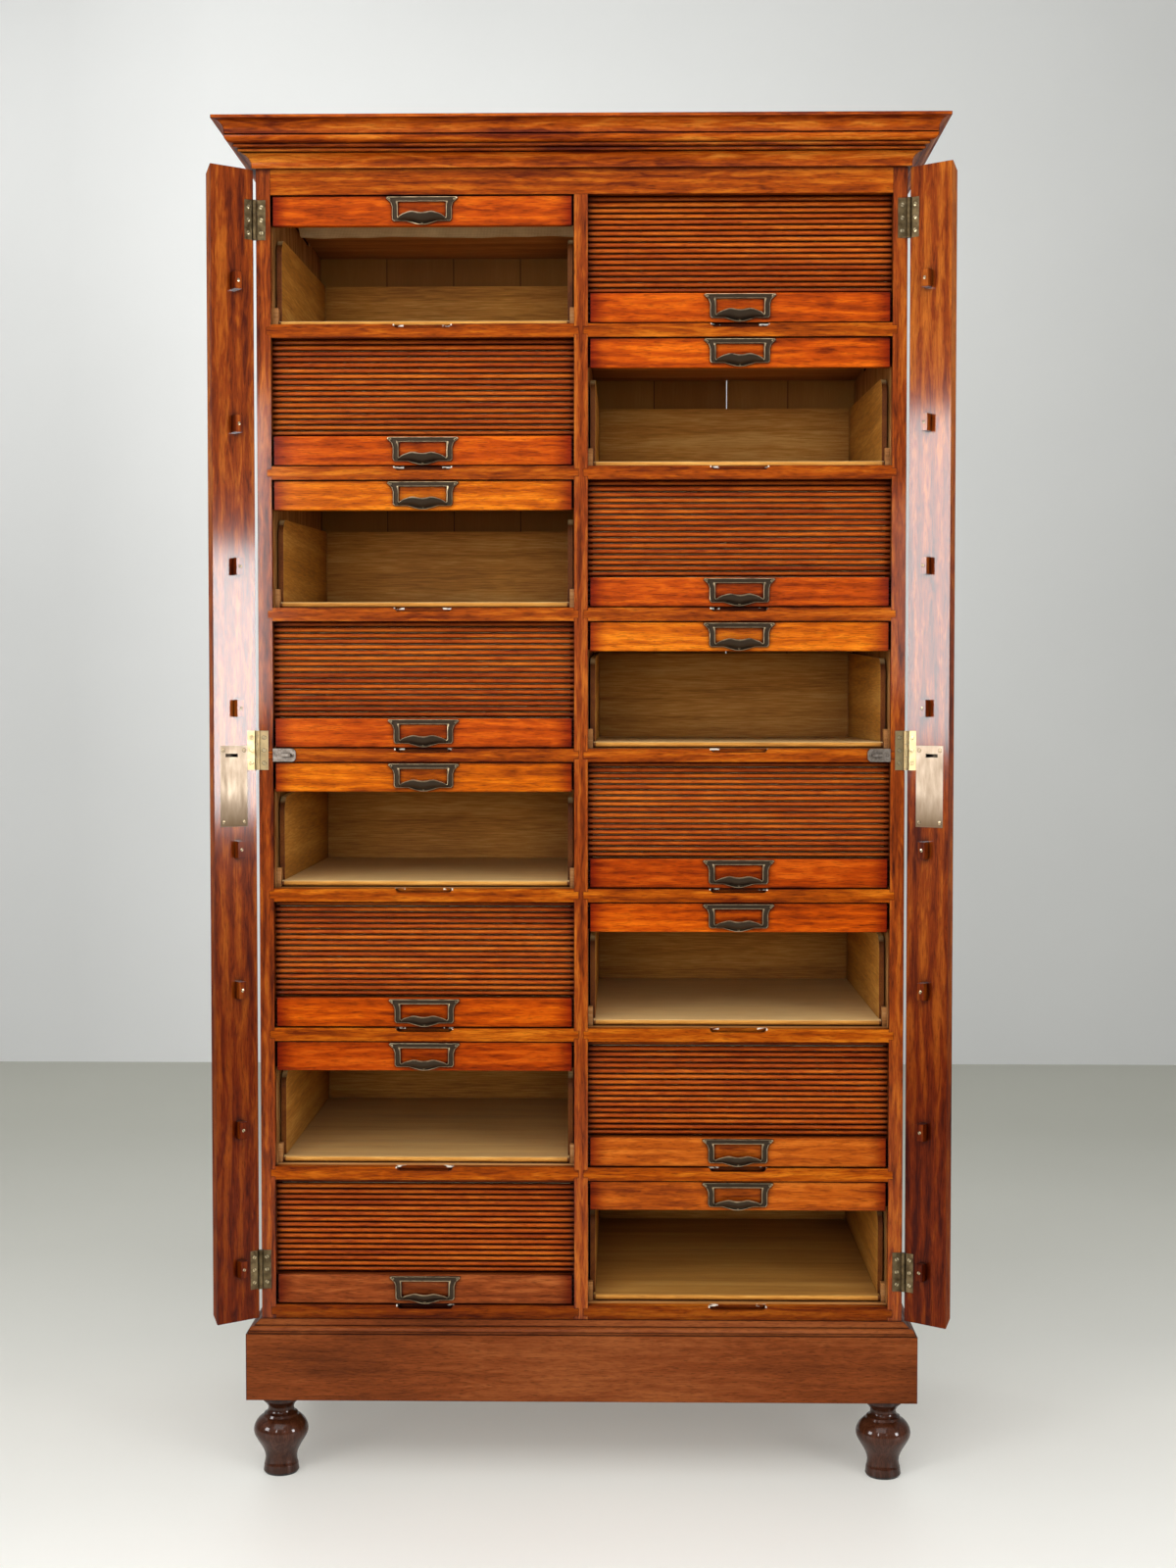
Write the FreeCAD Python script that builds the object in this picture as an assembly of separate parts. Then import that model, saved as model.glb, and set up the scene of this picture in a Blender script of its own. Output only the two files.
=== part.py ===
import FreeCAD, Part
import math
import os

os.makedirs("parts", exist_ok=True)
Vector = FreeCAD.Vector

# Carcase: outside width and depth, thickness of the sides and of the middle partition
carcase_width = 838.0
carcase_depth = 467.0
side_thickness = 18.5
partition_thickness = 18.0
facing_depth = 12.0
top_thickness = 18.0
back_thickness = 12.0
back_gap = 0.05
open_back_gap = 1.6
open_back_gap_x = 209.0
boards_each_side = 4

# Heights of the base, from the floor up
foot_height = 107.0
plinth_height = 87.0
plinth_moulding_height = 16.0
base_rail_height = 18.5

# Two columns of compartments, one above another, with a rail between
row_count = 8
opening_height = 165.0
rail_height = 17.5
frieze_height = 33.0
cornice_height = 57.0
dust_board_thickness = 6.0
bottom_board_thickness = 18.0
rail_tongue_length = 6.0
rail_tongue_height = 10.0
notch_width = 73.0
notch_depth = 5.0
notch_reach = 8.0
notch_round = 0.9

# Cornice and plinth: how far they stand out from the carcase
cornice_projection = 49.0
cornice_band = 5.0
cornice_band_rise = 4.0
cornice_hollow = 12.5
cornice_fillet_one = 20.0
cornice_fillet_two = 25.0
cornice_fillet_rise = 3.0
cornice_fillet_slope = 1.75
cornice_quirk = 2.0
cornice_round = 8.0
cornice_round_lift = 1.0
cornice_round_step = 2.0
cornice_cove = 12.0
cove_end_angle = 105
cornice_steps = 6
cornice_top_fillet = 4.0
mitre_room = 5.0
plinth_projection = 18.5
plinth_board = 18.0
plinth_step = 2.0
plinth_moulding_set = 2.0
plinth_moulding_edge = 3.0
plinth_moulding_ledge = 1.0
plinth_bead = 6.0
bead_steps = 5
plinth_quirk = 1.0
corner_block = 50.0

# Turned feet
foot_inset = 39.5
foot_base_radius = 23.5
foot_ankle_radius = 22.4
foot_bulb_radius = 36.0
foot_collar_radius = 22.0
foot_neck_radius = 17.0
foot_flare_radius = 24.0
foot_base_chamfer = 2.0
foot_base_edge = 3.0
foot_ankle_level = 12.0
foot_shin_level = 30.0
foot_shin_swell = 0.5
foot_swell_level = 42.0
foot_swell_radius = 29.5
foot_bulb_level = 57.0
foot_shoulder_level = 70.0
foot_shoulder_radius = 31.0
foot_shoulder_drop = 6.0
foot_collar_step = 1.5
foot_collar_level = 79.0
foot_neck_level = 87.0
foot_neck_half = 4.0
foot_neck_rise = 6.0
foot_neck_flare = 3.0
foot_flare_rim = 10.0

# Shutters: the bottom lath, the slats and the cloth that joins them
lath_end_gap = 3.0
lath_height = 38.0
lath_thickness = 10.0
lath_recess = 2.5
lath_edge = 1.2
lath_bottom_gap = 1.0
shutter_travel = 125.0
slat_pitch = 7.35
slat_width = 6.9
slat_thickness = 5.5
slat_shoulder = 2.0
slat_front = 13.0
slat_count = 28
slat_end_reach = 3.0
first_slat_lift = 6.0
cloth_thickness = 0.7
cloth_end_gap = 5.75
cloth_tail = 60.0
bend_radius = 15.0
run_lift = 5.3
groove_depth = 4.0
groove_clearance = 0.7
groove_front_clearance = 0.6
groove_end_room = 106.0

# Oak boxes in the compartments
box_floor = 8.0
box_side = 6.5
box_height = 117.0
box_back_rise = 16.0
box_clearance = 2.5
box_floor_lift = 0.3
box_front = 36.0
box_nose_front = 24.0
box_back_gap = 4.0
box_corner_radius = 22.0
guide_block_height = 25.0
guide_block_width = 6.0
guide_block_clearance = 0.8

# Pull with a card frame on each lath
pull_plate = 2.2
pull_width = 77.0
pull_height = 31.0
pull_top_width = 93.0
pull_top_inset = 1.5
pull_bar = 6.0
pull_window_width = 62.0
pull_window_height = 21.0
pull_lobe_radius = 8.0
pull_lobe_drop = 5.0
pull_lip_width = 60.0
pull_lip_reach = 10.0
pull_lip_end_height = 4.0
pull_lip_middle_height = 10.5
pull_lip_wall = 1.8

# Locking flaps on the two outer edges
flap_width = 60.0
flap_thickness = 13.0
flap_end_gap = 1.0
flap_bevel = 11.0
flap_face_gap = 2.0
flap_open_angle = 143.0
pin_side_offset = 1.5
stop_from_edge = 22.0
stop_width = 10.0
stop_height = 22.0
stop_reach = 11.0
stop_lift = 2.0

# Butt hinges
hinge_height = 51.0
hinge_leaf = 12.5
hinge_leaf_thickness = 1.6
hinge_knuckle_radius = 2.9
hinge_pin_radius = 1.5
hinge_bore_clearance = 0.05
hinge_clearance = 0.35
hinge_end_gap = 0.3
hinge_end_inset = 65.0
hinge_middle_lift = 6.25

# Box lock on each flap and the plate with a staple that it takes hold of
lock_width = 39.0
lock_height = 105.0
lock_plate = 2.0
lock_from_edge = 12.8
lock_slot_drop = 92.25
slot_inset = 35.25
key_drop = 42.0
lock_case_margin = 3.0
lock_case_depth = 9.0
lock_case_wall = 1.2
slot_width = 17.4
slot_height = 4.4
bolt_width = 6.0
bolt_thickness = 2.6
bolt_length = 30.0
bolt_rest_gap = 1.2
bolt_head_length = 12.0
bolt_body_width = 24.0
bolt_slide_gap = 0.3
link_length = 29.5
link_height = 17.0
link_thickness = 1.5
link_end_radius = 6.0
staple_width = 14.0
staple_thickness = 3.4
staple_reach = 7.5
staple_end_room = 1.0
staple_eye_width = 7.4
staple_eye_depth = 3.2
keyhole_radius = 3.2
escutcheon_radius = 5.0
escutcheon_thickness = 1.2

# How far a cutting shape runs past the faces it cuts, and how near two places are the same
cut_over = 1.0
same_place = 0.01

# Levels that follow from those sizes
base_top = foot_height + plinth_height
moulding_top = base_top + plinth_moulding_height
first_opening = moulding_top + base_rail_height
row_pitch = opening_height + rail_height
frieze_bottom = first_opening + row_count * row_pitch - rail_height
cornice_bottom = frieze_bottom + frieze_height
total_height = cornice_bottom + cornice_height
top_bottom = total_height - top_thickness
half_width = carcase_width / 2
half_partition = partition_thickness / 2
wall_x = half_width - side_thickness
opening_width = wall_x - half_partition
lath_length = opening_width - 2 * lath_end_gap
cloth_length = opening_width - 2 * cloth_end_gap
column_x = (wall_x + half_partition) / 2
slat_base = slat_front + slat_thickness
back_inside = carcase_depth - back_thickness

# The origin lies under the middle of the whole cabinet, cornice included
front_shift = -(carcase_depth - cornice_projection) / 2
columns = (("L", -column_x), ("R", column_x))
open_shutters = ("L1", "L3", "L5", "L7", "R2", "R4", "R6", "R8")


def block(x_low, x_high, y_low, y_high, z_low, z_high):
    corner = Vector(x_low, y_low + front_shift, z_low)
    return Part.makeBox(x_high - x_low, y_high - y_low, z_high - z_low, corner)


def upright_cylinder(radius, x, y, z_low, z_high):
    return Part.makeCylinder(radius, z_high - z_low, Vector(x, y + front_shift, z_low))


def cut_all(solid, tools):
    return solid.cut(Part.makeCompound(tools)) if tools else solid


def single(shape):
    return shape.removeSplitter().Solids[0]


def save(name, solids):
    Part.makeCompound(solids).exportStep("parts/" + name + ".step")


def opening_bottom(row):
    return first_opening + (row_count - row) * row_pitch


def along_x(points, x_low, x_high):
    # A closed outline in depth and height, drawn out along the width
    edges = []
    for first, second in zip(points, points[1:] + points[:1]):
        edges.append(Part.makeLine(first, second))
    face = Part.Face(Part.Wire(edges))
    return face.extrude(Vector(x_high - x_low, 0, 0))


def depth_point(x, y, z):
    return Vector(x, y + front_shift, z)


def plan_prism(points, z_low, z_high):
    corners = [depth_point(x, y, z_low) for x, y in points]
    return Part.Face(Part.makePolygon(corners + corners[:1])).extrude(Vector(0, 0, z_high - z_low))


def moulding_run(profile, reach):
    # One profile of projection and height, mitred round the front and both sides
    low = min(z for projection, z in profile) - cut_over
    high = max(z for projection, z in profile) + cut_over
    left = -half_width
    right = half_width
    wide = half_width + reach
    front_points = [depth_point(-wide, -projection, z) for projection, z in profile]
    front = along_x(front_points, -wide, wide)
    front_zone = [(-wide, -reach), (wide, -reach), (right, 0), (left, 0)]
    pieces = [front.common(plan_prism(front_zone, low, high))]
    for sign in (-1, 1):
        corners = [depth_point(sign * (half_width + projection), -reach, z) for projection, z in profile]
        face = Part.Face(Part.makePolygon(corners + corners[:1]))
        run = face.extrude(Vector(0, carcase_depth + reach, 0))
        zone = [(sign * half_width, 0), (sign * wide, -reach), (sign * wide, carcase_depth),
                (sign * half_width, carcase_depth)]
        pieces.append(run.common(plan_prism(zone, low, high)))
    return [single(piece) for piece in pieces]


def arc_points(centre_p, centre_z, radius, start, end, steps):
    points = []
    for step in range(steps + 1):
        angle = math.radians(start + (end - start) * step / steps)
        points.append((centre_p + radius * math.cos(angle), centre_z + radius * math.sin(angle)))
    return points


def quirk(point, next_z):
    # The bottom of a narrow groove, halfway up from a point of the cornice to its next member
    return point[0] - cornice_quirk, (point[1] + next_z) / 2


# The lock's slot faces the rail below the fourth row, and the hinges keep to it and to the flap's ends
slot_level = opening_bottom(4) - rail_height / 2
lock_low = slot_level - lock_slot_drop
hinge_levels = (moulding_top + hinge_end_inset, slot_level + hinge_middle_lift,
                cornice_bottom - hinge_end_inset)

# Hinge pins stand just outside the front corners of the carcase
pin_x = half_width + pin_side_offset
pin_y = -flap_face_gap / 2


def knuckle_room(sign, level):
    low = level - hinge_height / 2 - hinge_end_gap
    high = level + hinge_height / 2 + hinge_end_gap
    radius = hinge_knuckle_radius + hinge_clearance
    return upright_cylinder(radius, sign * pin_x, pin_y, low, high)


def leaf_box(sign, level, y_low, y_high):
    outer = half_width - pin_side_offset / 2
    inner = half_width - hinge_leaf
    low = level - hinge_height / 2
    high = level + hinge_height / 2
    return block(min(sign * inner, sign * outer), max(sign * inner, sign * outer), y_low, y_high, low, high)


# Sides and partition, with the grooves that the slat ends run in
groove_front = slat_front - groove_front_clearance
groove_back = slat_base + groove_clearance
groove_run_back = slat_base + bend_radius + slat_count * slat_pitch + groove_end_room


def grooves(face_x, inward):
    deep_x = face_x - inward * groove_depth
    low_x = min(face_x, deep_x)
    high_x = max(face_x, deep_x)
    top = opening_bottom(1) + opening_height
    tools = [block(low_x, high_x, groove_front, groove_back, first_opening, top)]
    for row in range(1, row_count + 1):
        top = opening_bottom(row) + opening_height
        run_low = top + run_lift - groove_clearance
        run_high = top + run_lift + slat_thickness + groove_clearance
        tools.append(block(low_x, high_x, groove_front, groove_run_back, run_low, run_high))
        bend_back = slat_base + bend_radius
        bend_low = top + run_lift - bend_radius - groove_clearance
        tools.append(block(low_x, high_x, groove_front, bend_back, bend_low, run_high))
    return tools


side_left = block(-half_width, -wall_x, facing_depth, carcase_depth, base_top, top_bottom)
side_left = single(cut_all(side_left, grooves(-wall_x, 1)))
side_right = block(wall_x, half_width, facing_depth, carcase_depth, base_top, top_bottom)
side_right = single(cut_all(side_right, grooves(wall_x, -1)))
partition = block(-half_partition, half_partition, facing_depth, back_inside, moulding_top, top_bottom)
partition = single(cut_all(partition, grooves(-half_partition, -1) + grooves(half_partition, 1)))
save("side_left", [side_left])
save("side_right", [side_right])
save("partition", [partition])

# Rails, let into the stiles by a tongue, with a finger notch under each pull
tongue_rooms = []
rails = []


def add_rail(column, low, high, tongue_height):
    left = column - opening_width / 2
    right = column + opening_width / 2
    rail = block(left, right, 0, facing_depth, low, high)
    middle = high - rail_height / 2
    tongue = block(left - rail_tongue_length, right + rail_tongue_length, 0, facing_depth,
                   middle - tongue_height / 2, middle + tongue_height / 2)
    tongue_rooms.append(tongue)
    rail = rail.fuse(tongue).removeSplitter()
    half = notch_width / 2
    notch = block(column - half, column + half, -cut_over, notch_reach, high - notch_depth, high + notch_depth)
    lower_edges = []
    for edge in notch.Edges:
        middle_point = edge.CenterOfMass
        along_depth = abs(edge.BoundBox.YLength - (notch_reach + cut_over)) < same_place
        if along_depth and middle_point.z < high:
            lower_edges.append(edge)
    notch = notch.makeFillet(notch_depth * notch_round, lower_edges)
    rails.append(single(rail.cut(notch)))


for side, column in columns:
    for row in range(1, row_count + 1):
        rail_top = opening_bottom(row)
        rail_low = rail_top - rail_height
        if row == row_count:
            rail_low = moulding_top
        add_rail(column, rail_low, rail_top, rail_tongue_height)
save("rails", rails)

# Stiles: the front edges of the two sides and of the partition
stile_spans = ((-half_width, -wall_x), (-half_partition, half_partition), (wall_x, half_width))
stiles = []
for low_x, high_x in stile_spans:
    stile_low = base_top
    if low_x < 0 < high_x:
        stile_low = moulding_top
    stile = block(low_x, high_x, 0, facing_depth, stile_low, top_bottom)
    if low_x < 0 < high_x:
        stile = stile.cut(block(low_x, high_x, 0, facing_depth, frieze_bottom, top_bottom))
    tools = list(tongue_rooms)
    for sign in (-1, 1):
        for level in hinge_levels:
            tools.append(knuckle_room(sign, level))
            tools.append(leaf_box(sign, level, 0, hinge_leaf_thickness))
    stiles.append(single(cut_all(stile, tools)))
save("stiles", stiles)

frieze = block(-wall_x, wall_x, 0, facing_depth, frieze_bottom, top_bottom)
save("frieze", [frieze])
top_board = block(-half_width, half_width, 0, carcase_depth, top_bottom, total_height)
save("top_board", [top_board])
bottom_low = first_opening - bottom_board_thickness
bottom_boards = block(-wall_x, wall_x, facing_depth, back_inside, bottom_low, first_opening)
bottom_boards = bottom_boards.cut(block(-half_partition, half_partition, facing_depth, back_inside,
                                        moulding_top - cut_over, first_opening))
save("bottom_board", bottom_boards.Solids)

dust_boards = []
for side, column in columns:
    for row in range(1, row_count + 1):
        top = opening_bottom(row) + opening_height + rail_height
        left = column - opening_width / 2
        right = column + opening_width / 2
        dust_boards.append(block(left, right, facing_depth, back_inside, top - dust_board_thickness, top))
save("dust_boards", dust_boards)

# Upright back boards on the plinth, with narrow gaps; one gap on the right has opened up
back_edges = [-wall_x]
board_width = wall_x / boards_each_side
for index in range(1, 2 * boards_each_side):
    back_edges.append(-wall_x + index * board_width)
back_edges.append(wall_x)
nearest = min(range(len(back_edges)), key=lambda index: abs(back_edges[index] - open_back_gap_x))
back_edges[nearest] = open_back_gap_x
back_boards = []
for index in range(len(back_edges) - 1):
    low_gap = open_back_gap / 2 if index == nearest else back_gap / 2
    high_gap = open_back_gap / 2 if index + 1 == nearest else back_gap / 2
    low_x = back_edges[index] + (low_gap if index > 0 else 0)
    high_x = back_edges[index + 1] - (high_gap if index + 2 < len(back_edges) else 0)
    back_boards.append(block(low_x, high_x, back_inside, carcase_depth, base_top, top_bottom))
save("back_boards", back_boards)

# Cornice: a hollow at the foot, two fillets, a wave moulding and a square top fillet
hollow_foot = cornice_bottom + cornice_band_rise
fillet_one = hollow_foot + cornice_hollow + cornice_fillet_slope
fillet_two = fillet_one + cornice_fillet_rise + cornice_fillet_slope
round_foot = fillet_two + cornice_fillet_rise + cornice_round_lift
round_reach = cornice_fillet_two + cornice_round_step
round_top = round_foot + cornice_round + cornice_fillet_slope
cove_reach = round_reach + cornice_round + cornice_cove
top_fillet = total_height - cornice_top_fillet
cornice_profile = [(0, cornice_bottom), (cornice_band, cornice_bottom)]
cornice_profile += arc_points(cornice_band + cornice_hollow, hollow_foot, cornice_hollow, 180, 90,
                              cornice_steps)
cornice_profile += [quirk(cornice_profile[-1], fillet_one), (cornice_fillet_one, fillet_one),
                    (cornice_fillet_one, fillet_one + cornice_fillet_rise)]
cornice_profile += [quirk(cornice_profile[-1], fillet_two), (cornice_fillet_two, fillet_two),
                    (cornice_fillet_two, fillet_two + cornice_fillet_rise)]
cornice_profile += [quirk(cornice_profile[-1], round_foot)]
cornice_profile += arc_points(round_reach, round_foot + cornice_round, cornice_round, -90, 0, cornice_steps)
cornice_profile += [quirk(cornice_profile[-1], round_top), (round_reach + cornice_round, round_top)]
cornice_profile += arc_points(cove_reach, top_fillet - cornice_cove, cornice_cove, 180, cove_end_angle,
                              cornice_steps)
cornice_profile += [(cornice_projection, top_fillet), (cornice_projection, total_height), (0, total_height)]
save("cornice", moulding_run(cornice_profile, cornice_projection + mitre_room))

# Plinth: mitred boards, a stepped moulding on top, a back board and corner blocks for the feet
board_in = plinth_projection - plinth_board
plinth_profile = [(board_in, foot_height), (plinth_projection, foot_height),
                  (plinth_projection, base_top), (board_in, base_top)]
plinth = moulding_run(plinth_profile, plinth_projection + mitre_room)
step_edge = plinth_projection - plinth_moulding_set
bead_middle = step_edge - plinth_moulding_ledge - plinth_bead
bead_top = base_top + plinth_moulding_edge + plinth_bead
step_profile = [(0, base_top), (step_edge, base_top), (step_edge, base_top + plinth_moulding_edge)]
step_profile += arc_points(bead_middle, base_top + plinth_moulding_edge, plinth_bead, 0, 90, bead_steps)
step_profile += [(bead_middle - plinth_quirk, bead_top), (bead_middle - plinth_quirk, bead_top + plinth_quirk)]
step_profile += [(plinth_step, moulding_top), (0, moulding_top)]
plinth += moulding_run(step_profile, plinth_projection + mitre_room)
plinth_inside = half_width + board_in
plinth.append(block(-plinth_inside, plinth_inside, carcase_depth - plinth_board, carcase_depth,
                    foot_height, base_top))
for sign in (-1, 1):
    inner_x = sign * (plinth_inside - corner_block)
    outer_x = sign * plinth_inside
    for y_low in (-board_in, carcase_depth - plinth_board - corner_block):
        plinth.append(block(min(inner_x, outer_x), max(inner_x, outer_x), y_low, y_low + corner_block,
                            foot_height, base_top))
save("plinth", plinth)

# Turned feet
foot_front_y = foot_inset - plinth_projection
foot_back_y = carcase_depth - foot_inset
foot_x = half_width + plinth_projection - foot_inset


def turned_foot(x, y):
    def at(radius, z):
        return Vector(radius, 0, z)
    bulb_top = at(foot_collar_radius + foot_collar_step, foot_shoulder_level + foot_shoulder_drop)
    collar = at(foot_collar_radius, foot_collar_level)
    flare = at(foot_flare_radius, foot_height - foot_flare_rim)
    chamfer = at(foot_base_radius - foot_base_chamfer, 0)
    rim = at(foot_base_radius, foot_base_edge)
    ankle = at(foot_ankle_radius, foot_ankle_level)
    bulb = Part.BSplineCurve()
    bulb.interpolate([ankle, at(foot_ankle_radius + foot_shin_swell, foot_shin_level),
                      at(foot_swell_radius, foot_swell_level), at(foot_bulb_radius, foot_bulb_level),
                      at(foot_shoulder_radius, foot_shoulder_level), bulb_top])
    neck = Part.BSplineCurve()
    neck.interpolate([collar, at(foot_neck_radius + foot_shin_swell, foot_neck_level - foot_neck_half),
                      at(foot_neck_radius, foot_neck_level),
                      at(foot_neck_radius + foot_neck_flare, foot_neck_level + foot_neck_rise), flare])
    edges = [Part.makeLine(at(0, 0), chamfer), Part.makeLine(chamfer, rim), Part.makeLine(rim, ankle),
             bulb.toShape(), Part.makeLine(bulb_top, collar), neck.toShape(),
             Part.makeLine(flare, at(foot_flare_radius, foot_height)),
             Part.makeLine(at(foot_flare_radius, foot_height), at(0, foot_height)),
             Part.makeLine(at(0, foot_height), at(0, 0))]
    face = Part.Face(Part.Wire(edges))
    foot = face.revolve(Vector(0, 0, 0), Vector(0, 0, 1), 360)
    foot.translate(Vector(x, y + front_shift, 0))
    return Part.makeSolid(foot) if foot.ShapeType != "Solid" else foot


feet = []
for x in (-foot_x, foot_x):
    for y in (foot_front_y, foot_back_y):
        feet.append(turned_foot(x, y))
save("feet", feet)

# Oak boxes: a floor with a rounded nose, two sides that rise from a rounded corner, and a taller back
boxes = []
guide_blocks = []
box_back = back_inside - box_back_gap
for side, column in columns:
    for row in range(1, row_count + 1):
        floor_low = opening_bottom(row) + box_floor_lift
        floor_high = floor_low + box_floor
        half_box = opening_width / 2 - box_clearance
        left = column - half_box
        right = column + half_box
        nose_half = opening_width / 2 - guide_block_width - guide_block_clearance
        nose_middle = (floor_low + floor_high) / 2
        nose_y = box_nose_front + box_floor / 2
        floor = block(left, right, box_front, box_back, floor_low, floor_high)
        nose = block(column - nose_half, column + nose_half, nose_y, box_front, floor_low, floor_high)
        bar = Part.makeCylinder(box_floor / 2, 2 * nose_half,
                                depth_point(column - nose_half, nose_y, nose_middle), Vector(1, 0, 0))
        boxes.append(single(floor.fuse([nose, bar])))
        side_top = floor_low + box_height
        back_top = side_top + box_back_rise
        for low_x in (left, right - box_side):
            outline = [depth_point(low_x, box_front, floor_high), depth_point(low_x, box_back, floor_high),
                       depth_point(low_x, box_back, back_top), depth_point(low_x, box_front, side_top)]
            board = along_x(outline, low_x, low_x + box_side)
            front_top = []
            for edge in board.Edges:
                middle = edge.CenterOfMass
                near_front = abs(middle.y - box_front - front_shift) < same_place
                if near_front and abs(middle.z - side_top) < same_place:
                    front_top.append(edge)
            boxes.append(board.makeFillet(box_corner_radius, front_top))
        boxes.append(block(left + box_side, right - box_side, box_back - box_side, box_back,
                           floor_high, back_top))
        for sign in (-1, 1):
            wall = column + sign * opening_width / 2
            inner = wall - sign * guide_block_width
            guide_blocks.append(block(min(wall, inner), max(wall, inner), box_nose_front,
                                      box_front - box_floor_lift, opening_bottom(row),
                                      opening_bottom(row) + guide_block_height))
save("boxes", boxes)
save("guide_blocks", guide_blocks)

# Shutters: each curtain climbs behind its lath, bends back over the top and runs to the rear
bend_length = bend_radius * math.pi / 2


def path_place(row, distance, start):
    # Place and tilt on the curtain's line, measured up from the curtain's lower end
    top = opening_bottom(row) + opening_height + run_lift
    climb = top - bend_radius - start
    if distance <= climb:
        return slat_base, start + distance, 0.0
    if distance <= climb + bend_length:
        angle = (distance - climb) / bend_radius
        y = slat_base + bend_radius * (1 - math.cos(angle))
        z = top - bend_radius + bend_radius * math.sin(angle)
        return y, z, angle
    return slat_base + bend_radius + distance - climb - bend_length, top, math.pi / 2


def slat_solid(x, y, z, tilt):
    half = slat_width / 2
    base = [Vector(0, 0, -half), Vector(0, 0, half), Vector(0, -slat_shoulder, half),
            Vector(0, -slat_thickness, 0), Vector(0, -slat_shoulder, -half)]
    edges = [Part.makeLine(base[0], base[1]), Part.makeLine(base[1], base[2]),
             Part.Arc(base[2], base[3], base[4]).toShape(), Part.makeLine(base[4], base[0])]
    length = opening_width + 2 * slat_end_reach
    solid = Part.Face(Part.Wire(edges)).extrude(Vector(length, 0, 0))
    solid.rotate(Vector(0, 0, 0), Vector(1, 0, 0), -math.degrees(tilt))
    solid.translate(Vector(x - length / 2, y + front_shift, z))
    return solid


def cloth_solid(x, row, start, length):
    end_y, end_z, tilt = path_place(row, length, start)
    top = opening_bottom(row) + opening_height + run_lift
    centre_y = slat_base + bend_radius
    centre_z = top - bend_radius
    inner = bend_radius - cloth_thickness
    low_x = x - cloth_length / 2
    lean = math.sqrt(0.5)

    def spot(y, z):
        return depth_point(low_x, y, z)

    outer_middle = spot(centre_y - bend_radius * lean, centre_z + bend_radius * lean)
    inner_middle = spot(centre_y - inner * lean, centre_z + inner * lean)
    edges = [Part.makeLine(spot(slat_base, start - slat_width / 2), spot(slat_base, centre_z)),
             Part.Arc(spot(slat_base, centre_z), outer_middle, spot(centre_y, top)).toShape(),
             Part.makeLine(spot(centre_y, top), spot(end_y, top)),
             Part.makeLine(spot(end_y, top), spot(end_y, top - cloth_thickness)),
             Part.makeLine(spot(end_y, top - cloth_thickness), spot(centre_y, top - cloth_thickness)),
             Part.Arc(spot(centre_y, top - cloth_thickness), inner_middle,
                      spot(centre_y - inner, centre_z)).toShape(),
             Part.makeLine(spot(centre_y - inner, centre_z),
                           spot(slat_base + cloth_thickness, start - slat_width / 2)),
             Part.makeLine(spot(slat_base + cloth_thickness, start - slat_width / 2),
                           spot(slat_base, start - slat_width / 2))]
    return Part.Face(Part.Wire(edges)).extrude(Vector(cloth_length, 0, 0))


def lath_solid(x, low):
    left = x - lath_length / 2
    lath = block(left, left + lath_length, lath_recess, lath_recess + lath_thickness, low, low + lath_height)
    front_edges = []
    for edge in lath.Edges:
        in_front = abs(edge.CenterOfMass.y - lath_recess - front_shift) < same_place
        if in_front and edge.BoundBox.XLength > lath_thickness:
            front_edges.append(edge)
    return lath.makeFillet(lath_edge, front_edges)


def pull_solids(x, low):
    back = lath_recess
    front = lath_recess - pull_plate
    top = low + lath_height - pull_top_inset
    bottom = top - pull_height
    half = pull_width / 2
    plate = block(x - half, x + half, front, back, bottom, top)
    ears = block(x - pull_top_width / 2, x + pull_top_width / 2, front, back, top - pull_bar, top)
    lobe = Part.makeCylinder(pull_lobe_radius, pull_plate,
                             depth_point(x, front, bottom + pull_lobe_radius - pull_lobe_drop),
                             Vector(0, 1, 0))
    window_top = top - pull_bar
    window = block(x - pull_window_width / 2, x + pull_window_width / 2, front - cut_over, back + cut_over,
                   window_top - pull_window_height, window_top)
    frame = plate.fuse([ears, lobe]).cut(window)
    lip_low = bottom
    shelf = block(x - pull_lip_width / 2, x + pull_lip_width / 2, front - pull_lip_reach, front,
                  lip_low, lip_low + pull_lip_wall)
    lip_front = front - pull_lip_reach
    ends = [depth_point(x - pull_lip_width / 2, lip_front, lip_low),
            depth_point(x + pull_lip_width / 2, lip_front, lip_low),
            depth_point(x + pull_lip_width / 2, lip_front, lip_low + pull_lip_end_height),
            depth_point(x - pull_lip_width / 2, lip_front, lip_low + pull_lip_end_height)]
    crown = depth_point(x, lip_front, lip_low + pull_lip_middle_height)
    outline = [Part.makeLine(ends[0], ends[1]), Part.makeLine(ends[1], ends[2]),
               Part.Arc(ends[2], crown, ends[3]).toShape(), Part.makeLine(ends[3], ends[0])]
    lip = Part.Face(Part.Wire(outline)).extrude(Vector(0, pull_lip_wall, 0))
    return single(frame.fuse([shelf, lip]))


slats_closed = []
slats_open = []
cloths = []
for side, column in columns:
    for row in range(1, row_count + 1):
        name = side + str(row)
        lifted = shutter_travel if name in open_shutters else 0.0
        low = opening_bottom(row) + lath_bottom_gap + lifted
        save("shutter_rail_" + name, [lath_solid(column, low)])
        save("pull_" + name, [pull_solids(column, low)])
        start = low + first_slat_lift
        target = slats_open if lifted else slats_closed
        for index in range(slat_count):
            y, z, tilt = path_place(row, index * slat_pitch, start)
            target.append(slat_solid(column, y, z, tilt))
        cloths.append(cloth_solid(column, row, start, slat_count * slat_pitch + cloth_tail))
save("slats_closed", slats_closed)
save("slats_open", slats_open)
save("canvas", cloths)

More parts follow.
